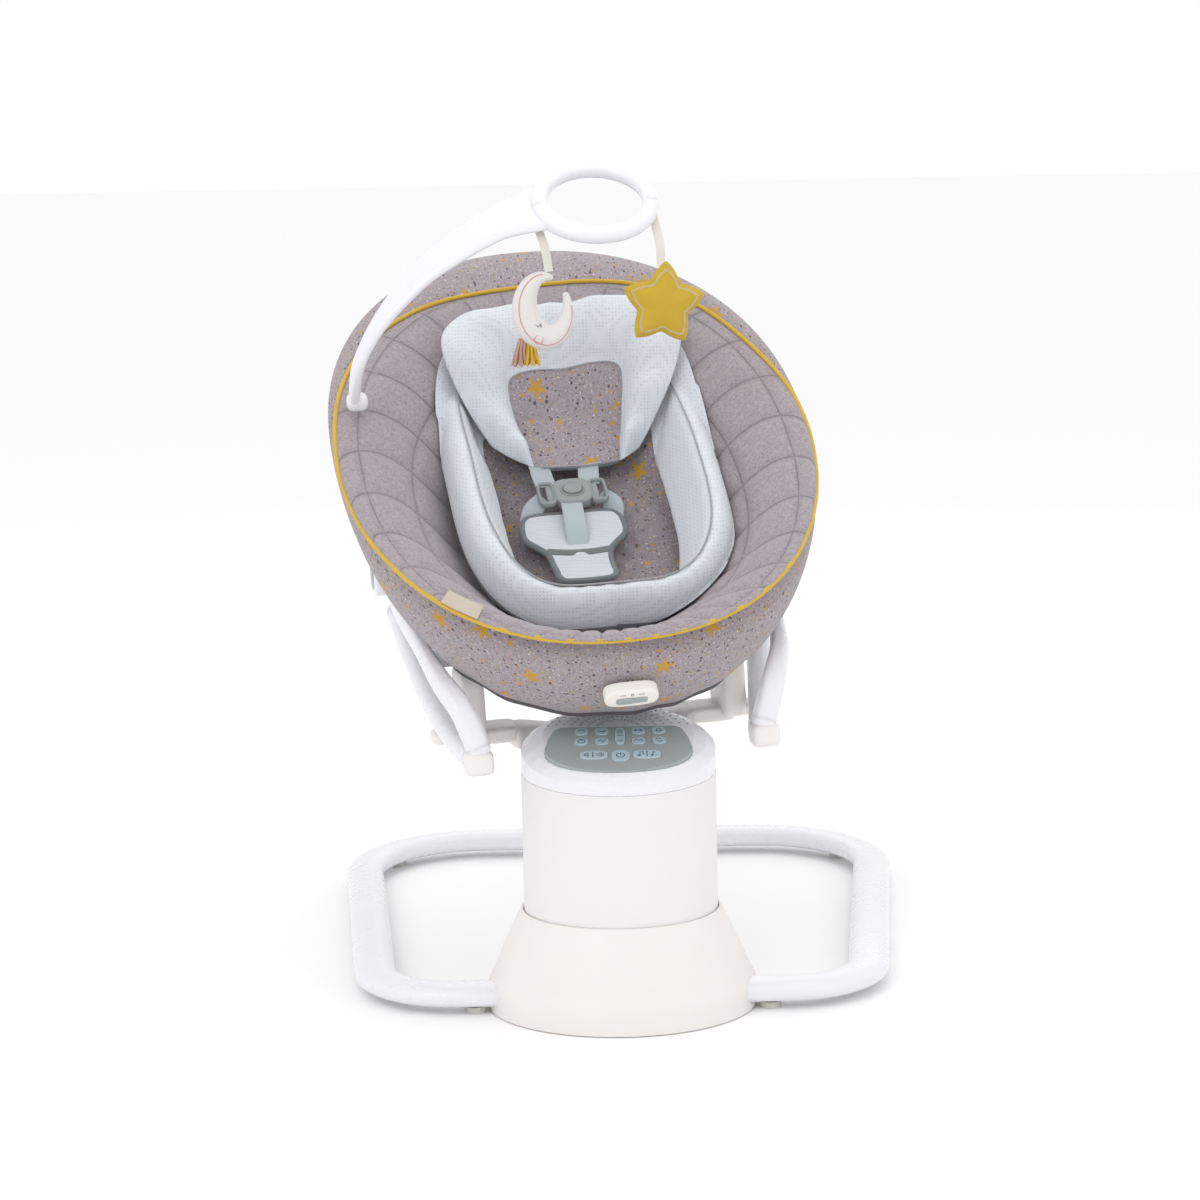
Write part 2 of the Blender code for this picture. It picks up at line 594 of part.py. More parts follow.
def support_top(x, y):
    """The body support's upper side: a low middle, with a bolster along the sides and the foot."""
    across, along = (x - SUPPORT_MID[0]) / SUPPORT_A, (y - SUPPORT_MID[1]) / SUPPORT_B
    rho = (abs(across) ** 2.8 + abs(along) ** 2.8) ** (1 / 2.8)
    bolster = 0.055 * math.exp(-((rho - 0.80) / 0.15) ** 2) * (1 - smoothstep((y - 0.08) / 0.14))
    floor = -0.112 + 0.050 * smoothstep((abs(y + 0.05) - 0.08) / 0.22)
    return max(lining_height(x, y) + 0.012, floor) + bolster


def head_bottom(x, y):
    over_straps = 0.002 * (1 - smoothstep((y - 0.085) / 0.05))
    return max(lining_height(x, y), support_top(x, y) if y < 0.26 else -1.0) + 0.018 + over_straps


def head_top(x, y):
    rho = ((x - HEAD_MID[0]) / (HEAD_A * head_taper(y))) ** 2 + ((y - HEAD_MID[1]) / HEAD_B) ** 2
    return head_bottom(x, y) + 0.006 + 0.036 * math.sqrt(max(0.0, 1 - min(1.0, rho))) + 0.010 * min(1.0, rho)


def strap(points, width=0.026):
    """A flat strap, 2 mm thick, lying just above the body support along a route in the rim's plane."""
    bm = bmesh.new()
    rows = []
    knots = smooth_path([(x, y, 0.0) for x, y in points], 3)
    for index, here in enumerate(knots):
        ahead = knots[min(index + 1, len(knots) - 1)] - knots[max(index - 1, 0)]
        across = Vector((-ahead.y, ahead.x, 0)).normalized() * (width / 2)
        height = support_top(here.x, here.y) + 0.014
        rows.append([Vector((p.x, p.y, height + lift)) for p, lift in
                     ((here - across, 0.0), (here + across, 0.0), (here + across, 0.002), (here - across, 0.002))])
    bm.free()
    return skin(rows)


def build_seat(seat):
    offset = -to_rim((0, HUB_Y, HUB_Z))
    inside = [bowl_ring(s, LINING_SHIFT * math.sqrt(1 - s * s), lining_drop(s))
              for s in (0.04, 0.20, 0.36, 0.50, 0.62, 0.72, 0.81, 0.89, 0.955)]
    crest = [bowl_ring(0.985, 0.0, -0.003), bowl_ring(1.0, 0.0, -0.014)]
    outside = [bowl_ring(math.cos(a), BOWL_SHIFT * math.sin(a), -BOWL_DEPTH * math.sin(a))
               for a in (math.radians(d) for d in (11, 22, 34, 46, 58, 69, 79, 87))]
    add("seat_shell", skin(inside + crest + outside), "quilt_fabric", seat, offset)
    add("body_support", pad(SUPPORT_OUTLINE, support_top, lambda x, y: lining_height(x, y) + 0.005,
                            centre=SUPPORT_MID), "mesh_fabric", seat, offset)
    add("head_support", pad(HEAD_OUTLINE, head_top, head_bottom, centre=HEAD_MID), "mesh_fabric",
        seat, offset)
    add("crotch_pad", pad(CROTCH_OUTLINE, lambda x, y: support_top(x, y) + 0.022,
                          lambda x, y: support_top(x, y) + 0.014, centre=(-0.008, -0.110)), "pad_fabric",
        seat, offset)
    waist = strap([(-0.064, -0.044), (-0.044, -0.035), (0.0, -0.032), (0.044, -0.035), (0.070, -0.047)])
    shoulders = [strap([(sign * 0.034, -0.030), (sign * 0.032, 0.020), (sign * 0.034, 0.066)])
                 for sign in (-1, 1)]
    add("harness_straps", union(waist, *shoulders), "webbing", seat, offset)
    buckle_z = support_top(0.0, -0.03) + 0.027
    buckle = boolean(box(0.084, 0.046, 0.016, 0.005), [moved(plate([superellipse(0.0125, 0.0100)], 0.012), z=0.006)])
    add("buckle", moved(buckle, y=-0.032, z=buckle_z), "buckle_grey", seat, offset)
    add("buckle_button", moved(plate([superellipse(0.0121, 0.0096)], 0.008), y=-0.032, z=buckle_z + 0.0062), "buckle_grey",
        seat, offset)
    half = [(0.0, 0, -0.034), (0.070, 0, -0.033), (0.125, 0, -0.027), (0.185, 0, -0.004),
            (0.2180, 0, 0)]
    yoke = smooth_path([(-x, y, z) for x, y, z in reversed(half[1:])] + half, 3)
    add("seat_yoke", tube(yoke, 0.009), "steel", seat)

    # the unit sits on the foot end of the bowl, facing along the outer wall's normal
    angle = math.radians(18)
    wall = Vector((0, -SEAT_B * math.cos(angle) - BOWL_SHIFT * math.sin(angle), -BOWL_DEPTH * math.sin(angle)))
    unit_turn = math.radians(90 + 6)
    place = offset + wall + Vector((0, -0.0130, -0.0020))
    groove = moved(box(0.036, 0.0105, 0.010), z=0.009)
    unit = boolean(plate([superellipse(0.031, 0.0135, 3.2, 20)], 0.017, 0.002), [groove])
    add("vibration_unit", unit, "cream_plastic", seat, place, (unit_turn, 0, 0))
    knob = moved(box(0.020, 0.0095, 0.0060, 0.001), x=-0.0075)
    add("vibration_switch", moved(knob, z=0.0078), "grey_plastic", seat, place, (unit_turn, 0, 0))


# ------------------------------------------------------------------ toy bar
def build_toys(toy, moon, star):
    route = [TOY_ROOT, (-0.2535, 0.045, 0.075), (-0.232, 0.060, 0.115), (-0.199, 0.078, 0.150),
             (-0.155, 0.098, 0.182), (-0.084, 0.122, 0.212), (TOY_RING.x - 0.066, 0.137, 0.224)]
    path = [Vector(p) - TOY_ROOT for p in smooth_path(route, 4)]
    arch = bar(path, 0.014, 0.027, power=2.4, sides=10)
    ring_mid = (TOY_RING_R + TOY_HOLE_R) / 2
    ring = tube([(ring_mid * math.cos(2 * math.pi * i / 22), ring_mid * math.sin(2 * math.pi * i / 22), 0)
                 for i in range(22)], (TOY_RING_R - TOY_HOLE_R) / 2, cyclic=True)
    ring = moved(ring, *(TOY_RING - TOY_ROOT))
    add("toy_bar", union(arch, ring), "white_plastic", toy)

    crescent = [(0.050 * math.cos(a), 0.050 * math.sin(a)) for a in
                (math.radians(60 + 15 * i) for i in range(17))]
    crescent += [(0.021 + 0.036 * math.cos(a), 0.036 * math.sin(a)) for a in
                 (math.radians(290 - 20 * i) for i in range(12))]
    crescent = moved(plate([crescent], 0.026, 0.006), turn=("X", math.pi / 2))
    add("moon_toy", moved(crescent, z=-0.085), "toy_cream", moon)
    points = [((0.055 if i % 2 == 0 else 0.029) * math.sin(math.pi * i / 5),
               (0.055 if i % 2 == 0 else 0.029) * math.cos(math.pi * i / 5)) for i in range(10)]
    solid = moved(plate([points], 0.026, 0.006), turn=("X", math.pi / 2))
    ribbon = moved(box(0.011, 0.002, 0.044), z=-0.0255)
    add("star_toy", union(moved(solid, z=-0.096), ribbon), "toy_yellow", star)


def build():
    about_shaft = Matrix.Rotation(SHAFT_LEAN, 4, "X") @ Matrix.Rotation(SWING_REST, 4, "Z")
    ahead = about_shaft @ Matrix.Rotation(-SHAFT_LEAN, 4, "X")
    drive = empty("drive_frame", SHAFT_MID, (SHAFT_LEAN, 0, 0))
    shaft = empty("shaft_axis", SHAFT_MID, about_shaft.to_euler())
    swing = empty("swing_axis", SHAFT_MID - ahead @ Vector((0, SHAFT_MID.y, SHAFT_MID.z)), ahead.to_euler())
    seat = empty("recline_axis", (0, HUB_Y, HUB_Z), (SEAT_INCLINE, 0, 0), swing)
    toy = empty("toy_bar_axis", TOY_ROOT - to_rim((0, HUB_Y, HUB_Z)), parent=seat)
    moon = empty("moon_axis", MOON_HANG, parent=swing)
    star = empty("star_axis", STAR_HANG, parent=swing)
    build_base()
    build_tower()
    build_drive(drive, shaft, swing)
    build_rocker(swing)
    build_seat(seat)
    build_toys(toy, moon, star)


clear_scene()
PARTS = collection("baby_swing")
CUTTERS = collection("cutters")
build()
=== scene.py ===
"""Looks of the baby swing: every visible piece as a fine surface, with a procedural finish.

Metres, +Z up, the frame of the CAD model. Points of the swinging part are worked out facing straight ahead
and then turned with `swung`; points of the seat are worked out over the plane of its rim, x across, y
towards the head and z out of the bowl, and placed with `seated`.
"""
import math

import bpy
import numpy as np
from mathutils import Matrix, Vector


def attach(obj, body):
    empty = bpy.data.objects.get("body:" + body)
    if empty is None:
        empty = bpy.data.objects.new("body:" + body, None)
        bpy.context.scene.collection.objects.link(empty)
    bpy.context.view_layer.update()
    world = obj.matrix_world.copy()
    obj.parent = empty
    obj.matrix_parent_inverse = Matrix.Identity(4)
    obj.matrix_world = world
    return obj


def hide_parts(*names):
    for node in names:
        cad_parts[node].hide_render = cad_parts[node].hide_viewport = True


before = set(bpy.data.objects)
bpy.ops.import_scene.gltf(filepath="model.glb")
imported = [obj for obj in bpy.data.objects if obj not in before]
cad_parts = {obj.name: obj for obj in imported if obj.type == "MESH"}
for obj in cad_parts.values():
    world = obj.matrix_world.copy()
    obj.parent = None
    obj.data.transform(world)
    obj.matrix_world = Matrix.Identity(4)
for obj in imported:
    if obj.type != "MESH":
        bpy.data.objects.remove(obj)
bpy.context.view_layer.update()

TAU = 2 * math.pi
OVAL = 0.868                                   # depth of the tower over its width
SHAFT_MID = np.array((0.008, 0.0204, 0.174))
SHAFT_LEAN, SWING_REST = math.radians(15), math.radians(10)
SEAT_INCLINE, SEAT_CENTRE = math.radians(33), np.array((0.0, 0.2375, 0.660))
SEAT_A, SEAT_B, SEAT_POWER = 0.292, 0.372, 2.2
CROSS_SEAMS, LONG_SEAMS = 34, (7.05, 4.6)      # seams round the rim, and the outlines that are sewn along
RIM_GIRTH, ROW_GAP, SEAM_GAP = 1.92, 0.036, 0.050   # round the rim, between outlines, between cross seams
BOWL_DEPTH, BOWL_SHIFT, LINING_DEPTH, LINING_SHIFT = 0.185, 0.150, 0.150, 0.100


# ------------------------------------------------------------------ places
def turn(axis, angle):
    """A turn about an axis as a 3 by 3 array."""
    return np.array(Matrix.Rotation(angle, 3, Vector(axis)))


def swung(points):
    """Points drawn facing straight ahead, turned to rest about the leaning shaft."""
    about = turn((0, -math.sin(SHAFT_LEAN), math.cos(SHAFT_LEAN)), SWING_REST)
    return (np.asarray(points) - (0, SHAFT_MID[1], SHAFT_MID[2])) @ about.T + SHAFT_MID


def seated(points):
    """Points over the rim's plane, tilted up by the seat's incline and then swung."""
    return swung(np.asarray(points) @ turn((1, 0, 0), SEAT_INCLINE).T + SEAT_CENTRE)


# ------------------------------------------------------------------ curves
def smooth_path(points, steps=8, closed=False):
    """Catmull-Rom: each span is the cubic through its ends, its slopes half the chord of their neighbours."""
    p = np.asarray(points, float)
    if closed:
        p = np.concatenate((p[-1:], p, p[:2]))
    else:
        p = np.concatenate((2 * p[:1] - p[1:2], p, 2 * p[-1:] - p[-2:-1]))
    a, b, c, d = (p[i:len(p) - 3 + i, None] for i in range(4))
    t = (np.arange(steps) / steps).reshape((1, steps) + (1,) * (p.ndim - 1))
    curve = (2 * a - 5 * b + 4 * c - d) * t ** 2 + (3 * b - a - 3 * c + d) * t ** 3
    spans = 0.5 * (2 * b + (c - a) * t + curve)
    made = spans.reshape((-1,) + p.shape[1:])
    return made if closed else np.concatenate((made, p[-2:-1]))


def superellipse(a, b, power, count):
    """Angle t gives the direction, and the reach makes |x/a|^power + |y/b|^power equal to one."""
    t = TAU * np.arange(count) / count
    c, s = np.cos(t), np.sin(t)
    reach = (np.abs(c) ** power + np.abs(s) ** power) ** (-1 / power)
    return np.stack((a * c * reach, b * s * reach), -1)


def level(line, height):
    """A flat line at one height."""
    return np.column_stack((line, np.full(len(line), height)))


def rounded_corners(corners, radii, steps=16):
    """A path of straight runs whose corners are arcs tangent to both."""
    made = [Vector(corners[0])]
    for before, here, after, radius in zip(corners, corners[1:], corners[2:], radii):
        before, here, after = Vector(before), Vector(here), Vector(after)
        start, end = (before - here).normalized(), (after - here).normalized()
        half = start.angle(end) / 2
        middle = here + (start + end).normalized() * (radius / math.sin(half))
        first = (here + start * (radius / math.tan(half)) - middle).normalized()
        last = (here + end * (radius / math.tan(half)) - middle).normalized()
        made += [middle + first.slerp(last, i / steps) * radius for i in range(steps + 1)]
    made.append(Vector(corners[-1]))
    return np.array(made)


# ------------------------------------------------------------------ surfaces
def closed_skin(rings, ends=True):
    """Rings of equal count joined in order, each end drawn to a pole. Faces are turned outwards by volume."""
    rings = np.asarray(rings, float)
    rows, count = rings.shape[:2]
    index = np.arange(rows * count).reshape(rows, count)
    if not ends:
        index = np.concatenate((index, index[:1]))
    side = np.roll(index, -1, 1)
    quads = np.stack((index[:-1], side[:-1], side[1:], index[1:]), -1).reshape(-1, 4)
    points = rings.reshape(-1, 3)
    faces = [quads]
    if ends:
        points = np.concatenate((points, rings[:1].mean(1), rings[-1:].mean(1)))
        first, last = np.full(count, rows * count), np.full(count, rows * count + 1)
        faces.append(np.stack((side[0], index[0], first, first), -1))
        faces.append(np.stack((index[-1], side[-1], last, last), -1))
    faces = np.concatenate(faces)
    a, b, c, d = (points[faces[:, i]] for i in range(4))
    volume = np.einsum("ij,ij->i", a, np.cross(b, c)).sum() + np.einsum("ij,ij->i", a, np.cross(c, d)).sum()
    return points, faces[:, [1, 0, 3, 2]] if volume < 0 else faces


def joined(*parts):
    """Several skins as one, each keeping its own closed surface."""
    points, faces, start = [], [], 0
    for p, f in parts:
        points.append(p)
        faces.append(f + start)
        start += len(p)
    return np.concatenate(points), np.concatenate(faces)


def swept(path, half_w, half_h, up=(0, 0, 1), power=2.2, count=24, closed=False, round_end=1.0):
    """A superellipse carried along a path, its height towards `up`; the ends close in as quarter circles."""
    path = np.asarray(path, float)
    ahead = (np.roll(path, -1, 0) - np.roll(path, 1, 0)) if closed else np.gradient(path, axis=0)
    ahead /= np.linalg.norm(ahead, axis=1, keepdims=True)
    up = np.broadcast_to(np.asarray(up, float), path.shape)
    across = np.cross(ahead, up)
    across /= np.linalg.norm(across, axis=1, keepdims=True)
    rise = np.cross(across, ahead)
    w = np.broadcast_to(np.asarray(half_w, float), (len(path),)).copy()
    h = np.broadcast_to(np.asarray(half_h, float), (len(path),)).copy()
    if not closed:
        lean = np.radians((0, 25, 50, 72))
        reach = round_end * min(w[0], h[0])
        reach_end = round_end * min(w[-1], h[-1])
        first = path[0] - ahead[0] * reach * np.sin(lean[::-1, None])
        last = path[-1] + ahead[-1] * reach_end * np.sin(lean[:, None])
        path = np.concatenate((first, path, last))
        across, rise = (np.concatenate((v[[0] * 4], v, v[[-1] * 4])) for v in (across, rise))
        fall = 1 - np.cos(lean)
        w, h = (np.concatenate((v[0] - reach * fall[::-1], v, v[-1] - reach_end * fall)) for v in (w, h))
    ring = superellipse(1, 1, power, count)
    rings = (path[:, None] + across[:, None] * (ring[None, :, :1] * w[:, None, None])
             + rise[:, None] * (ring[None, :, 1:] * h[:, None, None]))
    return closed_skin(rings, ends=not closed)


def revolved(profile, count=128, oval=1.0, closed=False):
    """Radius and height pairs turned about Z, squeezed in depth by `oval`."""
    profile = np.asarray(profile, float)
    t = TAU * np.arange(count) / count
    rings = np.stack(np.broadcast_arrays(profile[:, :1] * np.cos(t), profile[:, :1] * np.sin(t) * oval,
                                         profile[:, 1:]), -1)
    return closed_skin(rings, ends=not closed)


def prism(outline, low, high, bevel=0.001, steps=4):
    """An outline raised from low to high, its edges rolled in along their normals by quarter circles."""
    outline = np.asarray(outline, float)
    ahead = np.roll(outline, -1, 0) - np.roll(outline, 1, 0)
    out = np.stack((ahead[:, 1], -ahead[:, 0]), -1)
    out /= np.maximum(np.linalg.norm(out, axis=1, keepdims=True), 1e-9)
    area = (outline[:, 0] * np.roll(outline[:, 1], -1) - outline[:, 1] * np.roll(outline[:, 0], -1)).sum()
    out *= 1 if area > 0 else -1
    lean = np.linspace(0, math.pi / 2, steps + 1)
    insets = np.concatenate((bevel * (1 - np.sin(lean)), bevel * (1 - np.cos(lean))))
    heights = np.concatenate((low + bevel * (1 - np.cos(lean)), high - bevel * (1 - np.sin(lean))))
    rings = [level(outline - out * i, z) for i, z in zip(insets, heights)]
    centre = outline.mean(0)
    inner = [np.column_stack((centre + (rings[e][:, :2] - centre) * 0.5, rings[e][:, 2])) for e in (0, -1)]
    return closed_skin([inner[0], *rings, inner[1]])


def soft_box(centre, half, power=5.0, count=40):
    """A superellipsoid: a superellipse of the latitude turned along a superellipse of the longitude."""
    lat = np.linspace(-math.pi / 2, math.pi / 2, count // 2 + 1)[1:-1]
    c, s = np.cos(lat), np.sin(lat)
    reach = (np.abs(c) ** power + np.abs(s) ** power) ** (-1 / power)
    ring = superellipse(1, 1, power, count)
    rings = np.stack(np.broadcast_arrays(ring[None, :, 0] * (c * reach)[:, None], ring[None, :, 1]
                                         * (c * reach)[:, None], (s * reach)[:, None]), -1)
    return closed_skin(rings * half + centre)


def placed(skin, move=(0, 0, 0), spin=None, how=None):
    """A skin turned, moved and then put through a placing function."""
    points = skin[0] if spin is None else skin[0] @ spin.T
    points = points + np.asarray(move)
    return (how(points) if how else points), skin[1]


# ------------------------------------------------------------------ finishes
def paint(code):
    """A hexadecimal colour as linear light."""
    parts = [int(code[i:i + 2], 16) / 255 for i in (0, 2, 4)]
    return tuple(c / 12.92 if c <= 0.04045 else ((c + 0.055) / 1.055) ** 2.4 for c in parts)


def operator(kind, swap=False):
    """A method that puts one Math node between two values."""
    return lambda self, other: self.math(kind, other, self) if swap else self.math(kind, self, other)


class Wire:
    """An output socket that adds, subtracts, multiplies and compares through Math nodes."""

    def __init__(self, finish, socket):
        self.finish, self.socket = finish, socket

    def math(self, kind, *values):
        return self.finish.node("ShaderNodeMath", {"operation": kind}, *values)

    def alone(self, kind):
        return self.math(kind, self)

    __add__ = __radd__ = operator("ADD")
    __sub__, __rsub__ = operator("SUBTRACT"), operator("SUBTRACT", swap=True)
    __mul__ = __rmul__ = operator("MULTIPLY")
    __gt__ = operator("GREATER_THAN")

    def bent(self, power):
        return self.math("POWER", self, power)

    def clamped(self):
        return self.math("MAXIMUM", self.math("MINIMUM", self, 1.0), 0.0)


class Finish:
    """A material with one Principled shader; its constants are set on the shader itself."""

    def __init__(self, name, **constants):
        self.made = bpy.data.materials.new(name)
        self.made.use_nodes = True
        self.tree = self.made.node_tree
        self.shader = self.tree.nodes["Principled BSDF"]
        for key, value in constants.items():
            socket = self.shader.inputs[key.replace("_", " ")]
            socket.default_value = (*value, 1.0) if isinstance(value, tuple) else value

    def node(self, kind, settings=None, *values, out=0, **named):
        made = self.tree.nodes.new(kind)
        for key, value in (settings or {}).items():
            setattr(made, key, value)
        for key, value in [*enumerate(values), *((k.replace("_", " "), v) for k, v in named.items())]:
            if isinstance(value, Wire):
                self.tree.links.new(value.socket, made.inputs[key])
            else:
                made.inputs[key].default_value = value
        return Wire(self, made.outputs[out])

    def others(self, wire, out):
        return Wire(self, wire.socket.node.outputs[out])

    def vector(self, kind, a, *b, **named):
        return self.node("ShaderNodeVectorMath", {"operation": kind}, a, *b, **named)

    def parts(self, vector):
        """The first two numbers of a vector."""
        first = self.node("ShaderNodeSeparateXYZ", None, vector)
        return first, self.others(first, 1)

    def coords(self):
        return self.node("ShaderNodeTexCoord", out="Object")

    def plan(self, name):
        return self.node("ShaderNodeUVMap", {"uv_map": name})

    def attribute(self, name):
        return self.node("ShaderNodeAttribute", {"attribute_name": name}, out="Fac")

    def noise(self, where, scale, detail=2.0, rough=0.5):
        return self.node("ShaderNodeTexNoise", None, Vector=where, Scale=scale, Detail=detail,
                         Roughness=rough)

    def mix(self, share, a, b):
        made = self.tree.nodes.new("ShaderNodeMix")
        made.data_type = "RGBA"
        made.clamp_factor = True
        for socket, value in ((made.inputs[0], share), (made.inputs[6], a), (made.inputs[7], b)):
            if isinstance(value, Wire):
                self.tree.links.new(value.socket, socket)
            else:
                socket.default_value = (*value, 1.0) if isinstance(value, tuple) else value
        return Wire(self, made.outputs[2])

    def drive(self, socket, wire):
        self.tree.links.new(wire.socket, self.shader.inputs[socket])

    def bump(self, height, strength, depth):
        self.drive("Normal", self.node("ShaderNodeBump", None, Height=height, Strength=strength,
                                       Distance=depth))


def plastic(name, colour, roughness, grain=1400, coat=0.0, grain_depth=0.00006, grip=0.35, fade=0.955):
    """Moulded plastic: a fine spark-eroded grain, slow drift of tone and roughness, and handling scuffs."""
    colour = paint(colour) if isinstance(colour, str) else colour
    f = Finish(name, Base_Color=colour, Roughness=roughness, Coat_Weight=coat, Coat_Roughness=0.12, IOR=1.47)
    where = f.coords()
    drift = f.noise(where, 7.0, 3.0)
    dust = f.noise(where, 95.0, 4.0, 0.7)
    tone = tuple(c * fade for c in colour)
    f.drive("Base Color", f.mix((drift - 0.38) * 1.6 + (dust - 0.5) * 0.35, colour, tone))
    f.drive("Roughness", (drift * 0.10 + dust * 0.07) + (roughness - 0.085))
    f.bump(f.noise(where, grain, 2.0) + drift * 0.6, grip, grain_depth)
    return f.made


def metal(name, colour, roughness=0.3):
    """Machined metal: fine lay lines and darker patches of oil."""
    f = Finish(name, Base_Color=colour, Metallic=1.0, Roughness=roughness)
    where = f.coords()
    film = f.noise(where, 60.0, 4.0)
    lines = f.node("ShaderNodeTexWave", {"bands_direction": "Z"}, Vector=where, Scale=420.0, Distortion=3.0)
    f.drive("Base Color", f.mix(film, colour, tuple(c * 0.72 for c in colour)))
    f.drive("Roughness", film * 0.2 + (roughness - 0.1))
    f.bump(lines, 0.2, 0.00005)
    return f.made


def heather(f, where, light, dark):
    """Melange yarn: pale and dark fibres as two sizes of flecks."""
    flecks = f.noise(where, 760.0, 2.0, 0.6)
    slubs = f.noise(where, 210.0, 4.0, 0.75)
    return f.mix((flecks - 0.36) * 2.2 + (slubs - 0.5) * 1.8, light, dark), flecks, slubs


def weave(f, where, pitch):
    """Plain weave: two crossed waves of the yarn pitch."""
    one, two = (f.node("ShaderNodeTexWave", {"bands_direction": way}, Vector=where, Scale=0.5 / pitch,
                       Distortion=0.6) for way in ("X", "Y"))
    return one * two


def scattered(f, where, pitch, shift):
    """One point in each cell of a plane grid: the offset from it, its distance, and two random numbers."""
    moved = f.vector("ADD", where, (shift, shift * 0.7, 0))
    scaled = f.vector("SCALE", moved, Scale=1 / pitch)
    cell = f.node("ShaderNodeTexVoronoi", {"voronoi_dimensions": "2D"}, Vector=scaled, Scale=1.0,
                  Randomness=0.72)
    luck, other = f.parts(f.others(cell, "Color"))
    return f.vector("SUBTRACT", scaled, f.others(cell, "Position")), cell, luck, other


def star_mask(f, offset, distance, luck, size):
    """Five straight-sided rays: the edge's radius runs evenly with the angle between notch and tip."""
    x, y = f.parts(offset)
    angle = y.math("ARCTAN2", y, x)
    ray = (angle * (5 / TAU) + luck * 7.0).alone("FRACT")
    tip = (ray - 0.5).alone("ABSOLUTE") * 2.0
    edge = (tip.bent(1.4) * 0.60 + 0.40) * size
    return ((edge - distance) * 30.0).clamped()


def printed(name, light, dark):
    """Printed jersey: gold stars, gold and brown dots in several sizes, on a heather ground."""
    f = Finish(name, Roughness=0.92, Sheen_Weight=0.25, Sheen_Roughness=0.5)
    where = f.coords()
    plane = f.plan("lay")
    gold, brown, pale, mauve = paint("c0932f"), paint("55474b"), paint("cfc6c8"), paint("84686d")
    colour, flecks, slubs = heather(f, where, light, dark)
    for pitch, shift, low, size, ink in (
            (0.011, 0.31, 0.52, 0.16, brown), (0.009, 0.77, 0.66, 0.15, gold),
            (0.0065, 0.13, 0.60, 0.17, pale), (0.0075, 0.22, 0.45, 0.17, mauve),
            (0.019, 0.53, 0.60, 0.13, brown), (0.022, 0.91, 0.62, 0.13, gold)):
        _, distance, luck, other = scattered(f, plane, pitch, shift)
        dot = ((other * 0.5 + 0.6) * size - distance) * 22.0
        colour = f.mix(dot.clamped() * (luck > low) * 0.9, colour, ink)
    for pitch, shift, low, size in ((0.056, 0.0, 0.60, 0.25), (0.036, 0.45, 0.84, 0.17)):
        offset, distance, luck, other = scattered(f, plane, pitch, shift)
        star = star_mask(f, offset, distance, other, size)
        colour = f.mix(star * (luck > low) * 0.95, colour, gold)
    f.drive("Base Color", colour)
    f.bump(flecks + slubs * 0.8 + weave(f, plane, 0.0011) * 0.5, 0.55, 0.0005)
    return f.made


def quilted_cloth(name, light, dark):
    """Heather jersey over wadding. The thread and its shadow fall off evenly with the distance from the
    nearest seam. The cross seams lie at every half turn of the quilt plane's first number.
    """
    f = Finish(name, Roughness=0.93, Sheen_Weight=0.25, Sheen_Roughness=0.5)
    where = f.coords()
    colour, flecks, slubs = heather(f, where, light, dark)
    turns, row = f.parts(f.plan("quilt"))
    away = (turns.alone("FRACT") - 0.5).alone("ABSOLUTE") * SEAM_GAP
    for seam in LONG_SEAMS:
        away = away.math("MINIMUM", away, (row - seam).alone("ABSOLUTE") * ROW_GAP)
    sewn = f.attribute("sewn")
    thread = (1 - away * 620.0).clamped() * sewn
    shadow = (1 - away * 190.0).clamped() * sewn
    colour = f.mix(shadow * 0.20, colour, tuple(c * 0.6 for c in dark))
    f.drive("Base Color", f.mix(thread * 0.42, colour, tuple(c * 0.35 for c in dark)))
    f.bump(flecks + slubs * 0.8 - thread * 1.6, 0.6, 0.0005)
    return f.made


def air_mesh(name, colour, shade, pitch=0.0042):
    """Spacer mesh: a honeycomb of small dimples over a fine knit."""
    f = Finish(name, Roughness=0.88, Sheen_Weight=0.2, Sheen_Roughness=0.5)
    where = f.coords()
    cells = f.node("ShaderNodeTexVoronoi", {"feature": "DISTANCE_TO_EDGE"}, Vector=where, Scale=1 / pitch,
                   Randomness=0.12)
    knit = f.noise(where, 1500.0, 2.0)
    holes = ((cells - 0.17) * 5.0).clamped()
    f.drive("Base Color", f.mix(holes * 0.6 + (knit - 0.5) * 0.35, colour, shade))
    f.bump((1 - holes) + knit * 0.4, 0.55, 0.0006)
    return f.made


def ribbed(name, colour, pitch):
    """Woven tape: slanting ribs with a fibre noise."""
    f = Finish(name, Roughness=0.8, Sheen_Weight=0.15)
    where = f.coords()
    ribs = f.node("ShaderNodeTexWave", {"bands_direction": "DIAGONAL"}, Vector=where, Scale=0.5 / pitch,
                  Distortion=0.8)
    fibre = f.noise(where, 1100.0, 3.0)
    f.drive("Base Color", f.mix(ribs * 0.5 + (fibre - 0.5) * 0.8, colour, tuple(c * 0.72 for c in colour)))
    f.bump(ribs + fibre * 0.6, 0.5, 0.0004)
    return f.made


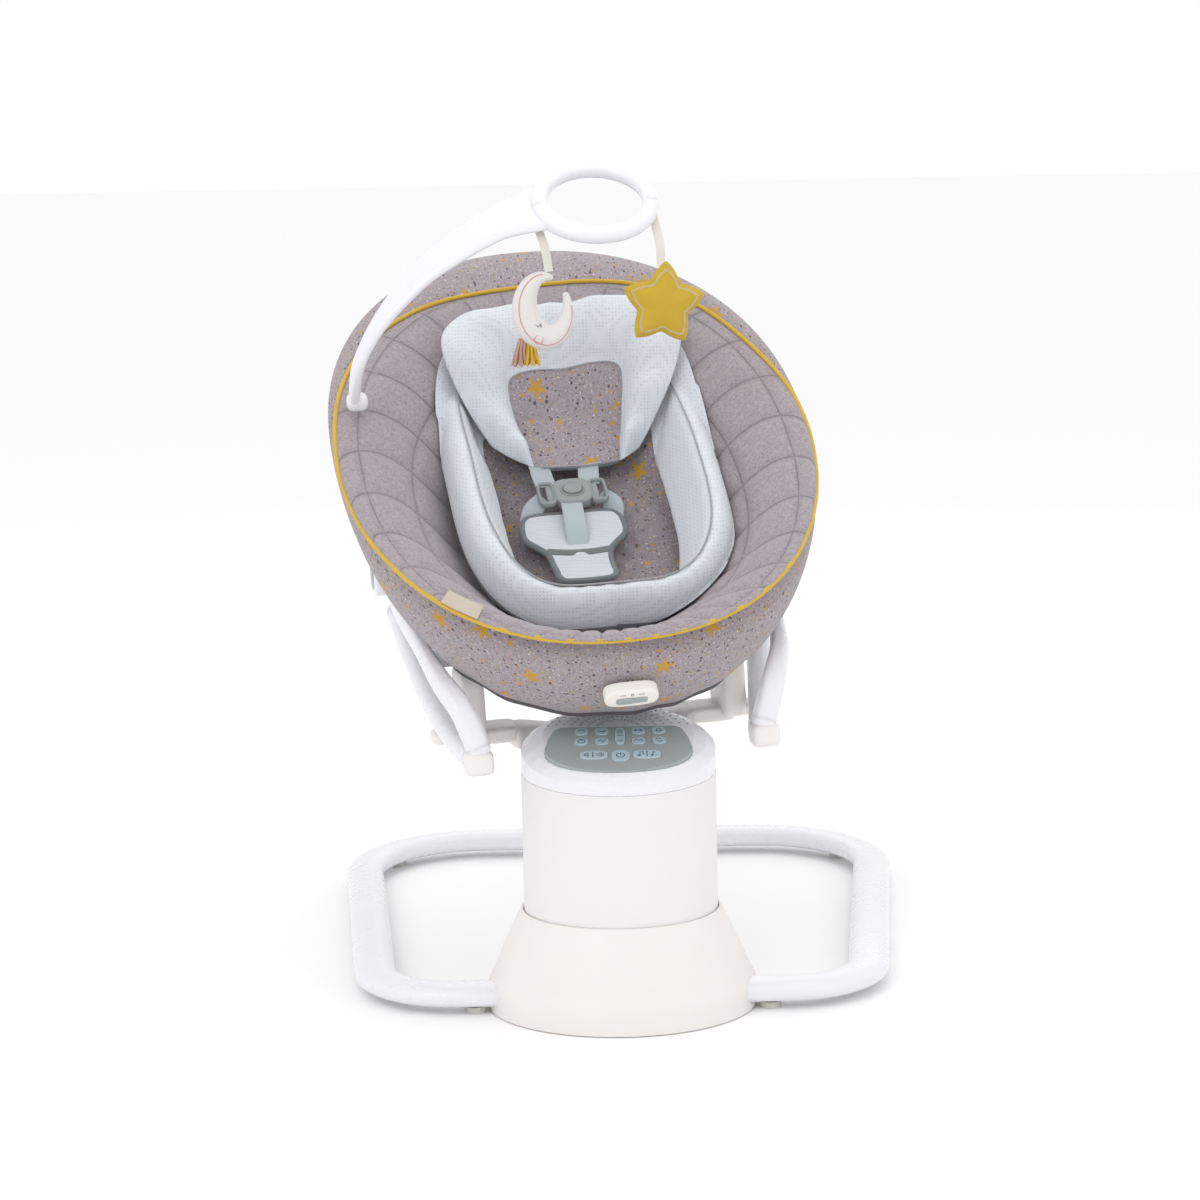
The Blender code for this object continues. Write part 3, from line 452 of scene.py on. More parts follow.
QUILT_LIGHT, QUILT_DARK = paint("aba1a6"), paint("7d7479")
FINISH = {
    "white_plastic": plastic("gloss_white", "e7e7eb", 0.28, 300, 0.2, 0.00004, 0.06, 0.988),
    "column_plastic": plastic("column_white", "e6e4e4", 0.42, 1900, 0.0, 0.0001),
    "cream_plastic": plastic("ivory_plastic", "e9e5e2", 0.42, 1900, 0.0, 0.0001),
    "grey_plastic": plastic("panel_grey", "a0a8a7", 0.40),
    "key_blue": plastic("key_blue_grey", "b3c6cf", 0.48),
    "buckle_grey": plastic("buckle_grey", "8e9593", 0.46, 1900, 0.0, 0.0001),
    "icon_ink": plastic("icon_print", "3f5560", 0.55),
    "rubber": plastic("foot_rubber", "c9c6c0", 0.75),
    "gear_nylon": plastic("gear_nylon", "e2dcc8", 0.5),
    "cell_black": plastic("moulded_black", "2a2a2d", 0.45),
    "board_green": plastic("board_green", (0.03, 0.16, 0.08), 0.4),
    "steel": metal("bright_steel", (0.62, 0.63, 0.65)),
    "bronze": metal("sintered_bronze", (0.60, 0.42, 0.22), 0.35),
    "motor_steel": metal("plated_steel", (0.42, 0.43, 0.45), 0.38),
    "quilt_fabric": quilted_cloth("quilt_heather", QUILT_LIGHT, QUILT_DARK),
    "print": printed("star_print", QUILT_LIGHT, QUILT_DARK),
    # the same star print made darker: painted shade for the hollow floor inside the bolster
    "dark_print": printed("print_painted_shade", paint("9d9398"), paint("736a6f")),
    "underside": air_mesh("underside_mesh", paint("9fa0a6"), paint("6f7077")),
    "mesh_fabric": air_mesh("air_mesh", paint("d8dce3"), paint("b4bbc5")),
    "pad_fabric": air_mesh("pad_mesh", paint("c9cfd4"), paint("a4acb1"), 0.0028),
    "lining_grey": air_mesh("lining_mesh", paint("81868c"), paint("62676d")),
}
for key, name, code, pitch in (
        ("binding", "binding_tape", "6e7577", 0.0016), ("hem", "hem_tape", "575056", 0.0016),
        ("piping", "piping_cord", "d9b23b", 0.0012), ("webbing", "harness_webbing", "b4bfc4", 0.0016),
        ("toy_yellow", "star_plush", "cdab2c", 0.0011), ("toy_cream", "moon_plush", "e9e5e3", 0.0014),
        ("thread_pink", "pink_thread", "d9a19a", 0.0009),
        ("thread_yellow", "yellow_thread", "e0b437", 0.0009),
        ("thread_tan", "tan_thread", "c9a08c", 0.0009), ("thread_white", "white_thread", "e9e4da", 0.0009),
        ("thread_black", "dark_thread", "3a3a3e", 0.0009), ("tag", "side_tag", "cfc4b6", 0.0010)):
    FINISH[key] = ribbed(name, paint(code), pitch)


# ------------------------------------------------------------------ pieces
def piece(name, skin, body, slot, finish=None, hides=(), lay=None, plans=None, marks=None, extra=()):
    """A skin as an object on a body. lay is the cloth's own plane at each point, marks its named numbers.
    plans are several such planes that come round to themselves, each with the period of its first number."""
    points, faces = skin
    data = bpy.data.meshes.new(name)
    flat = faces[:, 2] == faces[:, 3]
    data.from_pydata(points.tolist(), [], faces[~flat].tolist() + faces[flat][:, :3].tolist())
    data.polygons.foreach_set("use_smooth", np.ones(len(data.polygons), bool))
    if lay is not None:
        plans = {"lay": (lay, None)}
    for key, (plan, period) in (plans or {}).items():
        loops = np.empty(len(data.loops), np.int32)
        data.loops.foreach_get("vertex_index", loops)
        spread = np.array(plan, np.float32)[loops]
        if period:
            corners = spread[:4 * int((~flat).sum())].reshape(-1, 4, 2)
            ragged = np.ptp(corners[..., 0], axis=1) > period / 2
            corners[..., 0] += np.where(ragged[:, None] & (corners[..., 0] < period / 2), period, 0)
        data.uv_layers.new(name=key).data.foreach_set("uv", spread.ravel())
    for key, values in (marks or {}).items():
        data.attributes.new(key, "FLOAT", "POINT").data.foreach_set("value", np.asarray(values, np.float32))
    data.materials.append(FINISH[finish or slot])
    for other in extra:
        data.materials.append(FINISH[other])
    made = bpy.data.objects.new(name, data)
    bpy.context.scene.collection.objects.link(made)
    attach(made, body)
    if hides:
        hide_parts(*hides)
    return made


def seat_piece(name, skin, slot, finish=None, **more):
    """A piece that rides on the seat, drawn over the rim's plane."""
    return piece(name, placed(skin, how=seated), "seat", slot, finish, **more)


def swung_piece(name, skin, body, slot, hides=()):
    """A piece drawn facing straight ahead."""
    return piece(name, placed(skin, how=swung), body, slot, hides=hides)


def assign(made, kinds, first=0, last=0):
    """The material of each quad of a closed skin, and of the fans at its two poles."""
    count = kinds.shape[1]
    whole = np.concatenate((kinds.ravel(), np.full(count, first), np.full(count, last)))
    made.data.polygons.foreach_set("material_index", whole.astype(np.int32))


def sharpened(made, degrees=40):
    """A piece whose edges steeper than the angle are drawn sharp."""
    made.data.set_sharp_from_angle(angle=math.radians(degrees))
    return made


# ------------------------------------------------------------------ base and tower
SEAM_SLOPE = 0.08                              # rise of the column's top edge towards the back


def make_base():
    """The floor rail, the flared skirt and the column, whose top edge leans forward as a plane."""
    rail = rounded_corners([(-0.1200, -0.030, 0.0215), (-0.287, -0.030, 0.0215), (-0.359, 0.674, 0.0215),
                            (0.359, 0.674, 0.0215), (0.287, -0.030, 0.0215), (0.1200, -0.030, 0.0215)],
                           (0.100, 0.155, 0.155, 0.100))
    piece("rail_tube", swept(rail, 0.0245, 0.0135, power=2.3, count=40), "base", "white_plastic",
          hides=["floor_ring"])
    wall = 0.003
    outer = smooth_path([(0.1175, 0.116), (0.1255, 0.100), (0.1385, 0.072), (0.1505, 0.044), (0.1575, 0.028),
                         (0.1590, 0.012), (0.1590, 0.0012)], 6)
    lip = np.array([(0.1150, 0.1162), (0.1162, 0.1168)])
    inner = outer[::-1] - (wall, 0)
    skirt = np.concatenate((lip, outer, inner))
    sharpened(piece("skirt_shell", revolved(skirt, 160, OVAL, closed=True), "base", "cream_plastic",
                    hides=["base_skirt"]))
    t = TAU * np.arange(160) / 160
    rings = []
    for r, z, slope in ((0.1105, 0.0045, 0), (0.1105, 0.279, SEAM_SLOPE), (0.1108, 0.279, SEAM_SLOPE),
                        (0.1132, 0.279, SEAM_SLOPE), (0.1135, 0.2784, SEAM_SLOPE), (0.1135, 0.0045, 0)):
        y = r * np.sin(t) * OVAL
        rings.append(np.stack((r * np.cos(t), y, z + slope * y), -1))
    sharpened(piece("column_wall", closed_skin(np.array(rings), ends=False), "base", "white_plastic",
                    "column_plastic", hides=["column_shell"]))


PANEL_TILT, PANEL_MID = math.radians(18.6), np.array((0.0, -0.0375, 0.3136))


def panel_place(points):
    """From the panel's own plane to the tower's top."""
    return points @ turn((1, 0, 0), PANEL_TILT).T + PANEL_MID


def ring_line(radius, start=0, end=360, count=14):
    """An arc of a circle as a flat line."""
    t = np.radians(np.linspace(start, end, count))
    return np.stack((radius * np.cos(t), radius * np.sin(t)), -1)


ICONS = {
    "motion_key_1": [ring_line(4.2, 20, 160, 10) + (0, -2)],
    "motion_key_2": [ring_line(4.0), ring_line(1.6, 30, 150, 6) + (0, 1)],
    "motion_key_3": [ring_line(4.2, 200, 340, 10) + (0, 2)],
    "motion_key_4": [[(-4, -2), (-1.5, 3), (1, -3), (4, 2)]],
    "motion_key_5": [[(-4.5, 0), (4.5, 0)], [(-2.5, 2), (-4.5, 0), (-2.5, -2)],
                     [(2.5, 2), (4.5, 0), (2.5, -2)]],
    "motion_key_6": [[(-5, -1.5), (-2.5, 2), (0, -1.5), (2.5, 2), (5, -1.5)]],
    "motion_key_7": [[(-2.5, -2.5), (2.5, -2.5), (2.5, 2.5), (-2.5, 2.5), (-2.5, -2.5)]],
    "motion_key_8": [ring_line(2.6, 0, 180, 8) + (-1, 1), ring_line(2.6, 180, 360, 8) + (1, -1)],
    "speed_key": [[(-2.5, 10), (0, 13), (2.5, 10)], [(-2.5, 6), (0, 9), (2.5, 6)],
                  [(-2.5, -10), (0, -13), (2.5, -10)], [(-3, 0), (3, 0)]],
    "volume_key": [[(-11, -1.5), (-9, -1.5), (-6.5, -4), (-6.5, 4), (-9, 1.5), (-11, 1.5), (-11, -1.5)],
                   [(4, -1.5), (6, -1.5), (8.5, -4), (8.5, 4), (6, 1.5), (4, 1.5), (4, -1.5)],
                   ring_line(3.5, -40, 40, 6) + (7.5, 0), [(-1, -6), (-1, 6)]],
    "power_key": [ring_line(4.6, 120, 420, 16), [(0, 1), (0, 6)]],
    "music_key": [[(-8, -3), (-8, 4), (-4.5, 5), (-4.5, -2)], ring_line(1.3, 0, 360, 8) + (-9, -3),
                  [(7, -3), (7, 4.5), (9.5, 3)], ring_line(1.3, 0, 360, 8) + (6, -3), [(0, -6), (0, 6)]],
}
KEY_MIDS = {"speed_key": (0.0022, 0.0260), "volume_key": (-0.0285, -0.0150), "power_key": (0.0022, -0.0170),
            "music_key": (0.0325, -0.0150)}
for number in range(8):
    KEY_MIDS[f"motion_key_{number + 1}"] = ((-0.0425, -0.0190, 0.0235, 0.0472)[number // 2],
                                            (0.0370, 0.0150)[number % 2])


CAP_RADIUS, CAP_SLOPE = 0.1135, 0.25
PANEL_TOP, PANEL_SIDE = 0.0545, 0.090          # the slots keep clear of the panel by these


def make_panel_marks():
    """Key icons as thin raised strokes, and the sound openings as small slots in rays behind the panel."""
    for key, lines in ICONS.items():
        strokes = []
        for line in lines:
            flat = np.asarray(line, float) * 0.001
            path = level(flat + KEY_MIDS[key], 0.00135)
            strokes.append(swept(path, 0.00052, 0.00022, power=3.0, count=8, round_end=0.8))
        piece(f"icon_{key}", placed(joined(*strokes), how=panel_place), key, "key_blue", "icon_ink")
    slots = []
    for ray in range(17):
        angle = math.radians(14 + 152 * ray / 16)
        for step in range(7):
            reach = 0.022 + 0.0085 * step
            x, y = reach * math.cos(angle) * 1.15, 0.008 + reach * math.sin(angle) * 0.98
            rho = math.hypot(x, y / OVAL) / CAP_RADIUS
            if rho > 0.80 or ((y - PANEL_MID[1]) / math.cos(PANEL_TILT) < PANEL_TOP and abs(x) < PANEL_SIDE):
                continue
            z = 0.305 + CAP_SLOPE * y + 0.020 * (1 - rho ** 6)
            heading = turn((0, 0, 1), angle)
            spot = swept(np.array(((-0.0011, 0, 0), (0.0011, 0, 0))), 0.0010, 0.0004, count=8)
            slots.append(placed(spot, (x, y, z), turn((1, 0, 0), math.atan(CAP_SLOPE)) @ heading))
    piece("sound_slots", joined(*slots), "base", "white_plastic", "grey_plastic")


# ------------------------------------------------------------------ swing arm and rocker
RUNNER = [(0.2240, 0.258, 0.4440), (0.214, 0.215, 0.398), (0.200, 0.150, 0.349), (0.184, 0.080, 0.317),
          (0.1700, 0.0230, 0.3050)]
STRUT = [(0.2340, 0.2500, 0.4760), (0.227, 0.190, 0.450), (0.214, 0.110, 0.422), (0.202, 0.045, 0.396),
         (0.184, 0.006, 0.367), (0.1690, -0.0020, 0.3240)]


def make_rocker():
    """The swing arm with its saddles, and the rocker in them: each side's tubes, hub and tip boot."""
    arm = swept(smooth_path([(0, 0.0745, 0.192), (0, 0.094, 0.190), (0, 0.118, 0.205), (0, 0.138, 0.245),
                             (0, 0.150, 0.290)]), 0.030, 0.015, up=(0, -1, 1), power=2.8, count=40)
    flare = swept(smooth_path([(-0.100, 0.150, 0.300), (0, 0.150, 0.286), (0.100, 0.150, 0.300)]),
                  0.030, 0.016, power=2.8, count=40)
    swung_piece("arm_moulding", joined(arm, flare), "lift", "cream_plastic", ["swing_arm"])
    for side, sign in (("left", -1), ("right", 1)):
        flip = (sign, 1, 1)
        runner = swept(smooth_path(RUNNER) * flip, 0.013, 0.0155, up=(1, 0, 0), power=2.5, count=32)
        swung_piece(f"runner_tube_{side}", runner, "rocker", "white_plastic", [f"runner_{side}"])
        blade = smooth_path(STRUT) * flip
        breadth = 0.007 + 0.0075 * smoothstep(np.linspace(-0.3, 1.1, len(blade)))
        strut = swept(blade, 0.0135, breadth, up=(1, 0, 0), power=3.0, count=32)
        swung_piece(f"strut_blade_{side}", strut, "rocker", "white_plastic", [f"strut_{side}"])
        face = [(0.0185, 0.0158), (0.0195, 0.0150), (0.0225, 0.0150), (0.0245, 0.0142), (0.0265, 0.0110),
                (0.0265, -0.0138), (0.0253, -0.0150)]
        hub = revolved(face, 72)
        disc = revolved([(0.0070, 0.0172), (0.0165, 0.0168), (0.0180, 0.0158), (0.0180, 0.0148)], 72)
        facing = turn((0, 1, 0), sign * math.pi / 2)
        place = (sign * 0.236, 0.280, 0.488)
        piece(f"hub_drum_{side}", placed(hub, place, facing, swung), "rocker", "white_plastic",
              hides=[f"hub_{side}"])
        piece(f"hub_cap_{side}", placed(disc, place, facing, swung), "rocker", "key_blue", "grey_plastic")
        cap = soft_box((sign * 0.1690, 0.0010, 0.3050), (0.0170, 0.0170, 0.0140), 4.5)
        swung_piece(f"tip_boot_{side}", cap, "rocker", "cream_plastic", [f"tip_cap_{side}"])
        post = soft_box((sign * 0.1585, 0.150, 0.3440), (0.0160, 0.0430, 0.0430), 6.0, 56)
        lip = soft_box((sign * 0.1770, 0.152, 0.3065), (0.0300, 0.0250, 0.0070), 5.0)
        nose = soft_box((sign * 0.1320, 0.150, 0.3060), (0.0300, 0.0300, 0.0100), 6.0)
        swung_piece(f"saddle_block_{side}", joined(post, lip, nose), "lift", "cream_plastic",
                    [f"cradle_saddle_{side}"])
    cross = swept(np.array([(-0.205, 0.214, 0.389), (0.205, 0.214, 0.389)]), 0.011, 0.011, count=32)
    swung_piece("cross_rail", cross, "rocker", "white_plastic", ["cross_tube"])


# ------------------------------------------------------------------ seat
def smoothstep(t):
    """Three t squared less two t cubed, held between nought and one."""
    t = np.clip(t, 0, 1)
    return t * t * (3 - 2 * t)


def lining_drop(share):
    """Depth of the lining under the rim: a smooth step of the fall from the rim to the middle."""
    return -LINING_DEPTH * smoothstep(((1 - share) / 0.7) ** 1.3)


def lining_height(x, y):
    """The lining's height over points of the rim's plane: halves the share until its outline meets them."""
    low, high = np.full(np.shape(x), 0.001), np.ones(np.shape(x))
    for _ in range(22):
        share = (low + high) / 2
        shift = LINING_SHIFT * np.sqrt(1 - share * share)
        across, along = np.abs(x) / (SEAT_A * share), np.abs(y + shift) / (SEAT_B * share)
        beyond = across ** SEAT_POWER + along ** SEAT_POWER > 1
        low, high = np.where(beyond, share, low), np.where(beyond, high, share)
    return lining_drop(high)


def seat_rings(count):
    """The seat's own outlines from the middle of the lining, over the crest, to the underside's middle."""
    def ring(share, shift, height):
        return level(superellipse(SEAT_A * share, SEAT_B * share, SEAT_POWER, count) - (0, shift), height)

    rings = [ring(s, LINING_SHIFT * math.sqrt(1 - s * s), lining_drop(s))
             for s in (0.04, 0.20, 0.36, 0.50, 0.62, 0.72, 0.81, 0.89, 0.955)]
    rings += [ring(0.985, LINING_SHIFT * math.sqrt(1 - 0.985 ** 2), -0.003), ring(1.0, 0.0, -0.014)]
    rings += [ring(math.cos(a), BOWL_SHIFT * math.sin(a), -BOWL_DEPTH * math.sin(a))
              for a in np.radians((11, 22, 34, 46, 58, 69, 79, 87))]
    return np.array(rings)


def outwards(rings):
    """The unit normal at each point: down the rows crossed with round them, facing out of the lining."""
    normal = np.cross(np.gradient(rings, axis=0), np.roll(rings, -1, 1) - np.roll(rings, 1, 1))
    normal /= np.maximum(np.linalg.norm(normal, axis=-1, keepdims=True), 1e-9)
    return -normal if normal[24, 0, 2] < 0 else normal


# where the piping runs, as a place among the seat's outlines, by degrees round the rim from +x, and the hem
PIPING = [(0, 9.3), (10, 8.4), (20, 7.9), (30, 7.7), (45, 7.7), (60, 7.5), (75, 7.2), (90, 7.0),
          (105, 7.0), (120, 7.3), (135, 7.6), (150, 8.0), (165, 8.5), (180, 9.1), (190, 9.5), (200, 9.5),
          (210, 9.1), (225, 9.0), (270, 9.0), (315, 9.0), (328, 9.1), (340, 9.4), (350, 9.5), (360, 9.3)]
HEM = 13.4
PUFF, PUFF_REACH, GROOVE = 0.0036, 0.008, 0.0022     # how far the quilting swells, and the piping's groove


def row_at(rings, place, column):
    """Points between outlines: each column read at its own fractional place."""
    low = np.clip(np.floor(place).astype(int), 0, len(rings) - 2)
    share = (place - low)[:, None]
    return rings[low, column] * (1 - share) + rings[low + 1, column] * share


def make_seat_cover():
    """The whole seat as one skin. Between seams the quilting swells by one less the bell of the distance
    from the nearest seam. Cross seams lie at even angles of each outline drawn out to the rim's width, bowed
    towards the head by a half sine of the place; the others follow the outlines. The bowl's cloth hangs in
    small waves.
    """
    count, steps = 512, 9
    rings = smooth_path(seat_rings(count), steps)
    rows = np.arange(len(rings)) / steps
    place, y = rows[:, None], rings[..., 1]
    angle = TAU * np.arange(count) / count
    degrees, side = np.degrees(angle), np.cos(angle)[None]
    piping = np.mean([np.interp((degrees + shift) % 360, *zip(*PIPING)) for shift in range(-8, 9, 2)], 0)
    hem = HEM + 0.16 * np.abs(np.sin(angle * 9))
    bow = -0.34 * np.sin(math.pi * np.clip((place - 2.5) / 6.5, 0, 1)) * np.tanh(3 * side)
    seam = np.arctan2((y - y[-1].mean()) / np.abs(y).max(), side) / TAU * CROSS_SEAMS + bow
    across = np.abs((seam % 1.0) - 0.5) * SEAM_GAP
    away = np.minimum(across, np.abs(place - np.array(LONG_SEAMS)[:, None, None]).min(0) * ROW_GAP)
    sewn = smoothstep((piping[None] - 0.35 - place) / 0.9) * smoothstep((place - 2.0) / 1.0)
    puff = PUFF * sewn * (1 - np.exp(-(away / PUFF_REACH) ** 2)) - PUFF / 3 * sewn
    groove = GROOVE * np.exp(-((place - piping[None]) / 0.16) ** 2)
    folds = 0.0009 * np.sin(angle * 23 + 1.3 * np.sin(angle * 5))[None]
    folds = folds * smoothstep((place - 11.5) / 2.0) * smoothstep((18.0 - place) / 2.0)
    normal = outwards(rings)
    rings = rings + normal * (puff - groove + folds)[..., None]
    depth = np.concatenate(((0,), np.cumsum(np.linalg.norm(np.diff(rings, axis=0), axis=-1).mean(1))))
    lay = np.stack(np.broadcast_arrays((degrees / 360)[None] * RIM_GIRTH, depth[:, None]), -1).reshape(-1, 2)
    quilt = np.stack(np.broadcast_arrays(seam, place), -1).reshape(-1, 2)
    lay, quilt = (np.concatenate((plan, plan[:1], plan[-1:])) for plan in (lay, quilt))
    marks = {"sewn": np.concatenate((smoothstep((piping[None] - 0.1 - place) / 0.1).ravel(), (0, 0)))}
    made = seat_piece("seat_cover", closed_skin(rings), "quilt_fabric", hides=["seat_shell"], marks=marks,
                      plans={"lay": (lay, RIM_GIRTH), "quilt": (quilt, CROSS_SEAMS)},
                      extra=("print", "underside"))
    middle = rows[:-1, None] + 0.5 / steps
    assign(made, np.where(middle > hem[None], 2, np.where(middle < piping[None], 0, 1)), last=2)

    columns = np.arange(count)
    line = row_at(rings, piping * steps, columns) + row_at(normal, piping * steps, columns) * 0.0022
    cord = swept(line, 0.0028, 0.0028, up=(0.01, 0, 1), power=2, count=12, closed=True)
    seat_piece("seat_piping", cord, "quilt_fabric", "piping")
    line = row_at(rings, hem * steps, columns) + row_at(normal, hem * steps, columns) * 0.0006
    band = swept(line, 0.0016, 0.0042, up=(0, 0, 1), power=3, count=10, closed=True)
    seat_piece("seat_hem", band, "quilt_fabric", "hem")
    make_side_tag(rings[9 * steps])


# the side tag's stretch along the foot-left of the piping, in degrees round the rim, and its width
TAG_FROM, TAG_TO, TAG_WIDTH = 229.0, 237.5, 0.017


def make_side_tag(crest):
    """A beige label that stands up behind the piping and faces the front."""
    count = len(crest)
    line = crest[int(count * TAG_FROM / 360):int(count * TAG_TO / 360) + 1] + (0.0, 0.0052, 0.0084)
    label = swept(line, TAG_WIDTH / 2, 0.0006, up=(0.0, -0.64, 0.76), power=5, count=20)
    made = seat_piece("side_tag", label, "quilt_fabric", "tag")


RIDGE_MID, RIDGE_A, RIDGE_B = np.array((0.013, -0.012)), 0.142, 0.234


def make_body_support():
    """A bolster along a U: at each place a rounded wedge section, its inner side steep and its crest sewn."""
    angle = np.radians(np.linspace(-228, 48, 180))
    c, s = np.cos(angle), np.sin(angle)
    reach = (np.abs(c) ** 3.8 + np.abs(s) ** 3.8) ** (-1 / 3.8)
    ridge = RIDGE_MID + np.stack((RIDGE_A * c * reach, RIDGE_B * s * reach), -1)
    ahead = np.gradient(ridge, axis=0)
    out = np.stack((ahead[:, 1], -ahead[:, 0]), -1)
    out /= np.linalg.norm(out, axis=1, keepdims=True)
    foot = smoothstep((-s - 0.55) / 0.4)
    end = smoothstep((s + 0.05) / 0.6)
    crest = -0.020 - 0.026 * foot - 0.018 * end
    section = [(0.025, -0.052), (0.021, -0.020), (0.011, -0.004), (0.0, 0.0), (-0.010, -0.007),
               (-0.020, -0.030), (-0.031, -0.056), (-0.036, -0.078), (0.0, -0.086)]
    section = smooth_path(np.array(section), 6, closed=True)
    fullness = 1.0 - 0.22 * foot - 0.10 * np.exp(-((((angle + math.pi / 2) * 3.2) % TAU) / 0.5) ** 2)
    close = np.sqrt(np.clip(1 - (np.abs(np.linspace(-1, 1, 180)) ** 14), 0, 1))
    d = section[None, :, 0] * (fullness * close)[:, None]
    h = crest[:, None] + section[None, :, 1] * close[:, None] - 0.030 * (1 - close[:, None])
    place = ridge[:, None] + out[:, None] * d[..., None]
    h = np.maximum(h, lining_height(place[..., 0], place[..., 1]) + 0.0080)
    ripple = np.sin(np.linspace(0, TAU, len(section)))
    crumple = 0.0012 * np.sin(angle * 31 + 2 * np.sin(angle * 7))[:, None] * ripple
    skin = closed_skin(np.concatenate((place, (h + crumple)[..., None]), -1))
    made = seat_piece("support_bolster", skin, "mesh_fabric", hides=["body_support"], extra=("lining_grey",))
    around = np.arange(len(section))
    assign(made, ((around >= 46) | (around < 1))[None] & (s < -0.02)[:-1, None])
    seam = np.column_stack((ridge - out * 0.004, crest + 0.0012))[4:-4]
    seat_piece("support_seam", swept(seam, 0.0011, 0.0011, power=2, count=8), "mesh_fabric", "underside")
    make_support_floor()


def make_support_floor():
    """The printed floor inside the bolster: tufts as the product of two cosines over a dished level."""
    share = np.concatenate((np.linspace(0.05, 1, 26), np.linspace(1, 0.05, 14)))
    outline = superellipse(0.119, 0.190, 2.8, 120)
    rings = []
    for row, s in enumerate(share):
        x, y = 0.013 + outline[:, 0] * s, -0.020 + outline[:, 1] * s
        base = lining_height(x, y)
        dish = np.maximum(base + 0.010, -0.118 + 0.05 * smoothstep((np.abs(y + 0.05) - 0.08) / 0.22))
        tuft = 0.0030 * np.cos(x / 0.017 * math.pi) * np.cos(y / 0.020 * math.pi) * (1 - s ** 4)
        height = dish + tuft - 0.006 * s ** 6 if row < 26 else np.maximum(base + 0.0035, dish - 0.012)
        rings.append(np.column_stack((x, y, height)))
    skin = closed_skin(rings)
    # the darker copy of the print paints the shade that falls in the hollow inside the bolster
    seat_piece("support_floor", skin, "mesh_fabric", "dark_print", lay=skin[0][:, :2])


HEAD_MID = np.array((0.017, 0.118))
HEAD_HALF = [(0.000, 0.225), (0.055, 0.227), (0.112, 0.217), (0.146, 0.188), (0.152, 0.152), (0.134, 0.103),
             (0.098, 0.059), (0.060, 0.030), (0.020, 0.022)]
PANEL_HALF = [(0.000, 0.150), (0.035, 0.151), (0.062, 0.145), (0.072, 0.130), (0.066, 0.091), (0.058, 0.054),
              (0.051, 0.0285), (0.018, 0.0222)]


def by_angle(half, count):
    """A mirrored outline read evenly by the angle about the head support's middle."""
    points = np.array(half + [(-x, y) for x, y in half[::-1] if x > 0])
    points = smooth_path(points, 12, closed=True) - (0, HEAD_MID[1])
    angle = np.arctan2(points[:, 1], points[:, 0])
    order = np.argsort(angle)
    reach = np.linalg.norm(points, axis=1)
    t = np.linspace(-math.pi, math.pi, count, endpoint=False)
    return t, np.interp(t, angle[order], reach[order], period=TAU)


def make_head_support():
    """A flat printed middle inside a swollen crescent whose pleats run outwards from the middle's seam."""
    count = 240
    t, edge = by_angle(HEAD_HALF, count)
    _, inner = by_angle(PANEL_HALF, count)
    over = np.concatenate((np.linspace(0.06, 1.0, 14), 1 + np.linspace(0.03, 1, 34) ** 0.8))
    under = np.linspace(1.94, 0.1, 20)
    rings = []
    pleat = np.sin(t * 13 + 0.8 * np.sin(3 * t))
    for place, upper in [(p, True) for p in over] + [(p, False) for p in under]:
        bolster = np.clip(place - 1, 0, 1)
        reach = inner * min(place, 1) + (edge - inner) * bolster
        x, y = HEAD_MID[0] + reach * np.cos(t), HEAD_MID[1] + reach * np.sin(t)
        base = np.maximum(lining_height(x, y) + 0.010, -0.108 + 0.20 * np.clip(y - 0.03, 0, 0.16))
        swell = (1 - np.abs(2 * bolster ** 0.85 - 1) ** 2.3) * (0.028 + 0.004 * np.sin(t))
        swell = swell * smoothstep((edge - inner - 0.002) / 0.030)
        crease = 0.0036 * pleat * math.sin(math.pi * bolster) ** 0.7 * (1 if bolster > 0 else 0)
        crown = 0.006 * (1 - min(place, 1) ** 2)
        if upper:
            rings.append(np.column_stack((x, y, base + 0.020 + swell + crease + crown)))
        else:
            rings.append(np.column_stack((x, y, base + 0.014 + 0.006 * bolster ** 3)))
    skin = closed_skin(rings)
    made = seat_piece("head_cushion", skin, "mesh_fabric", hides=["head_support"], lay=skin[0][:, :2],
                      extra=("print", "lining_grey"))
    kinds = np.zeros((len(rings) - 1, count), int)
    kinds[:13] = 1
    kinds[48:] = 2
    assign(made, kinds, first=1, last=2)
    seam = swept(rings[13] + (0, 0, 0.0008), 0.0011, 0.0011, count=8, closed=True)
    seat_piece("head_seam", seam, "mesh_fabric", "underside")


# ------------------------------------------------------------------ harness
STRAP_FLOOR = -0.112


def tape(points, width=0.026, thick=0.0020):
    """A flat tape along a smooth path."""
    return swept(smooth_path(points), width / 2, thick / 2, power=5.0, count=20, round_end=0.9)


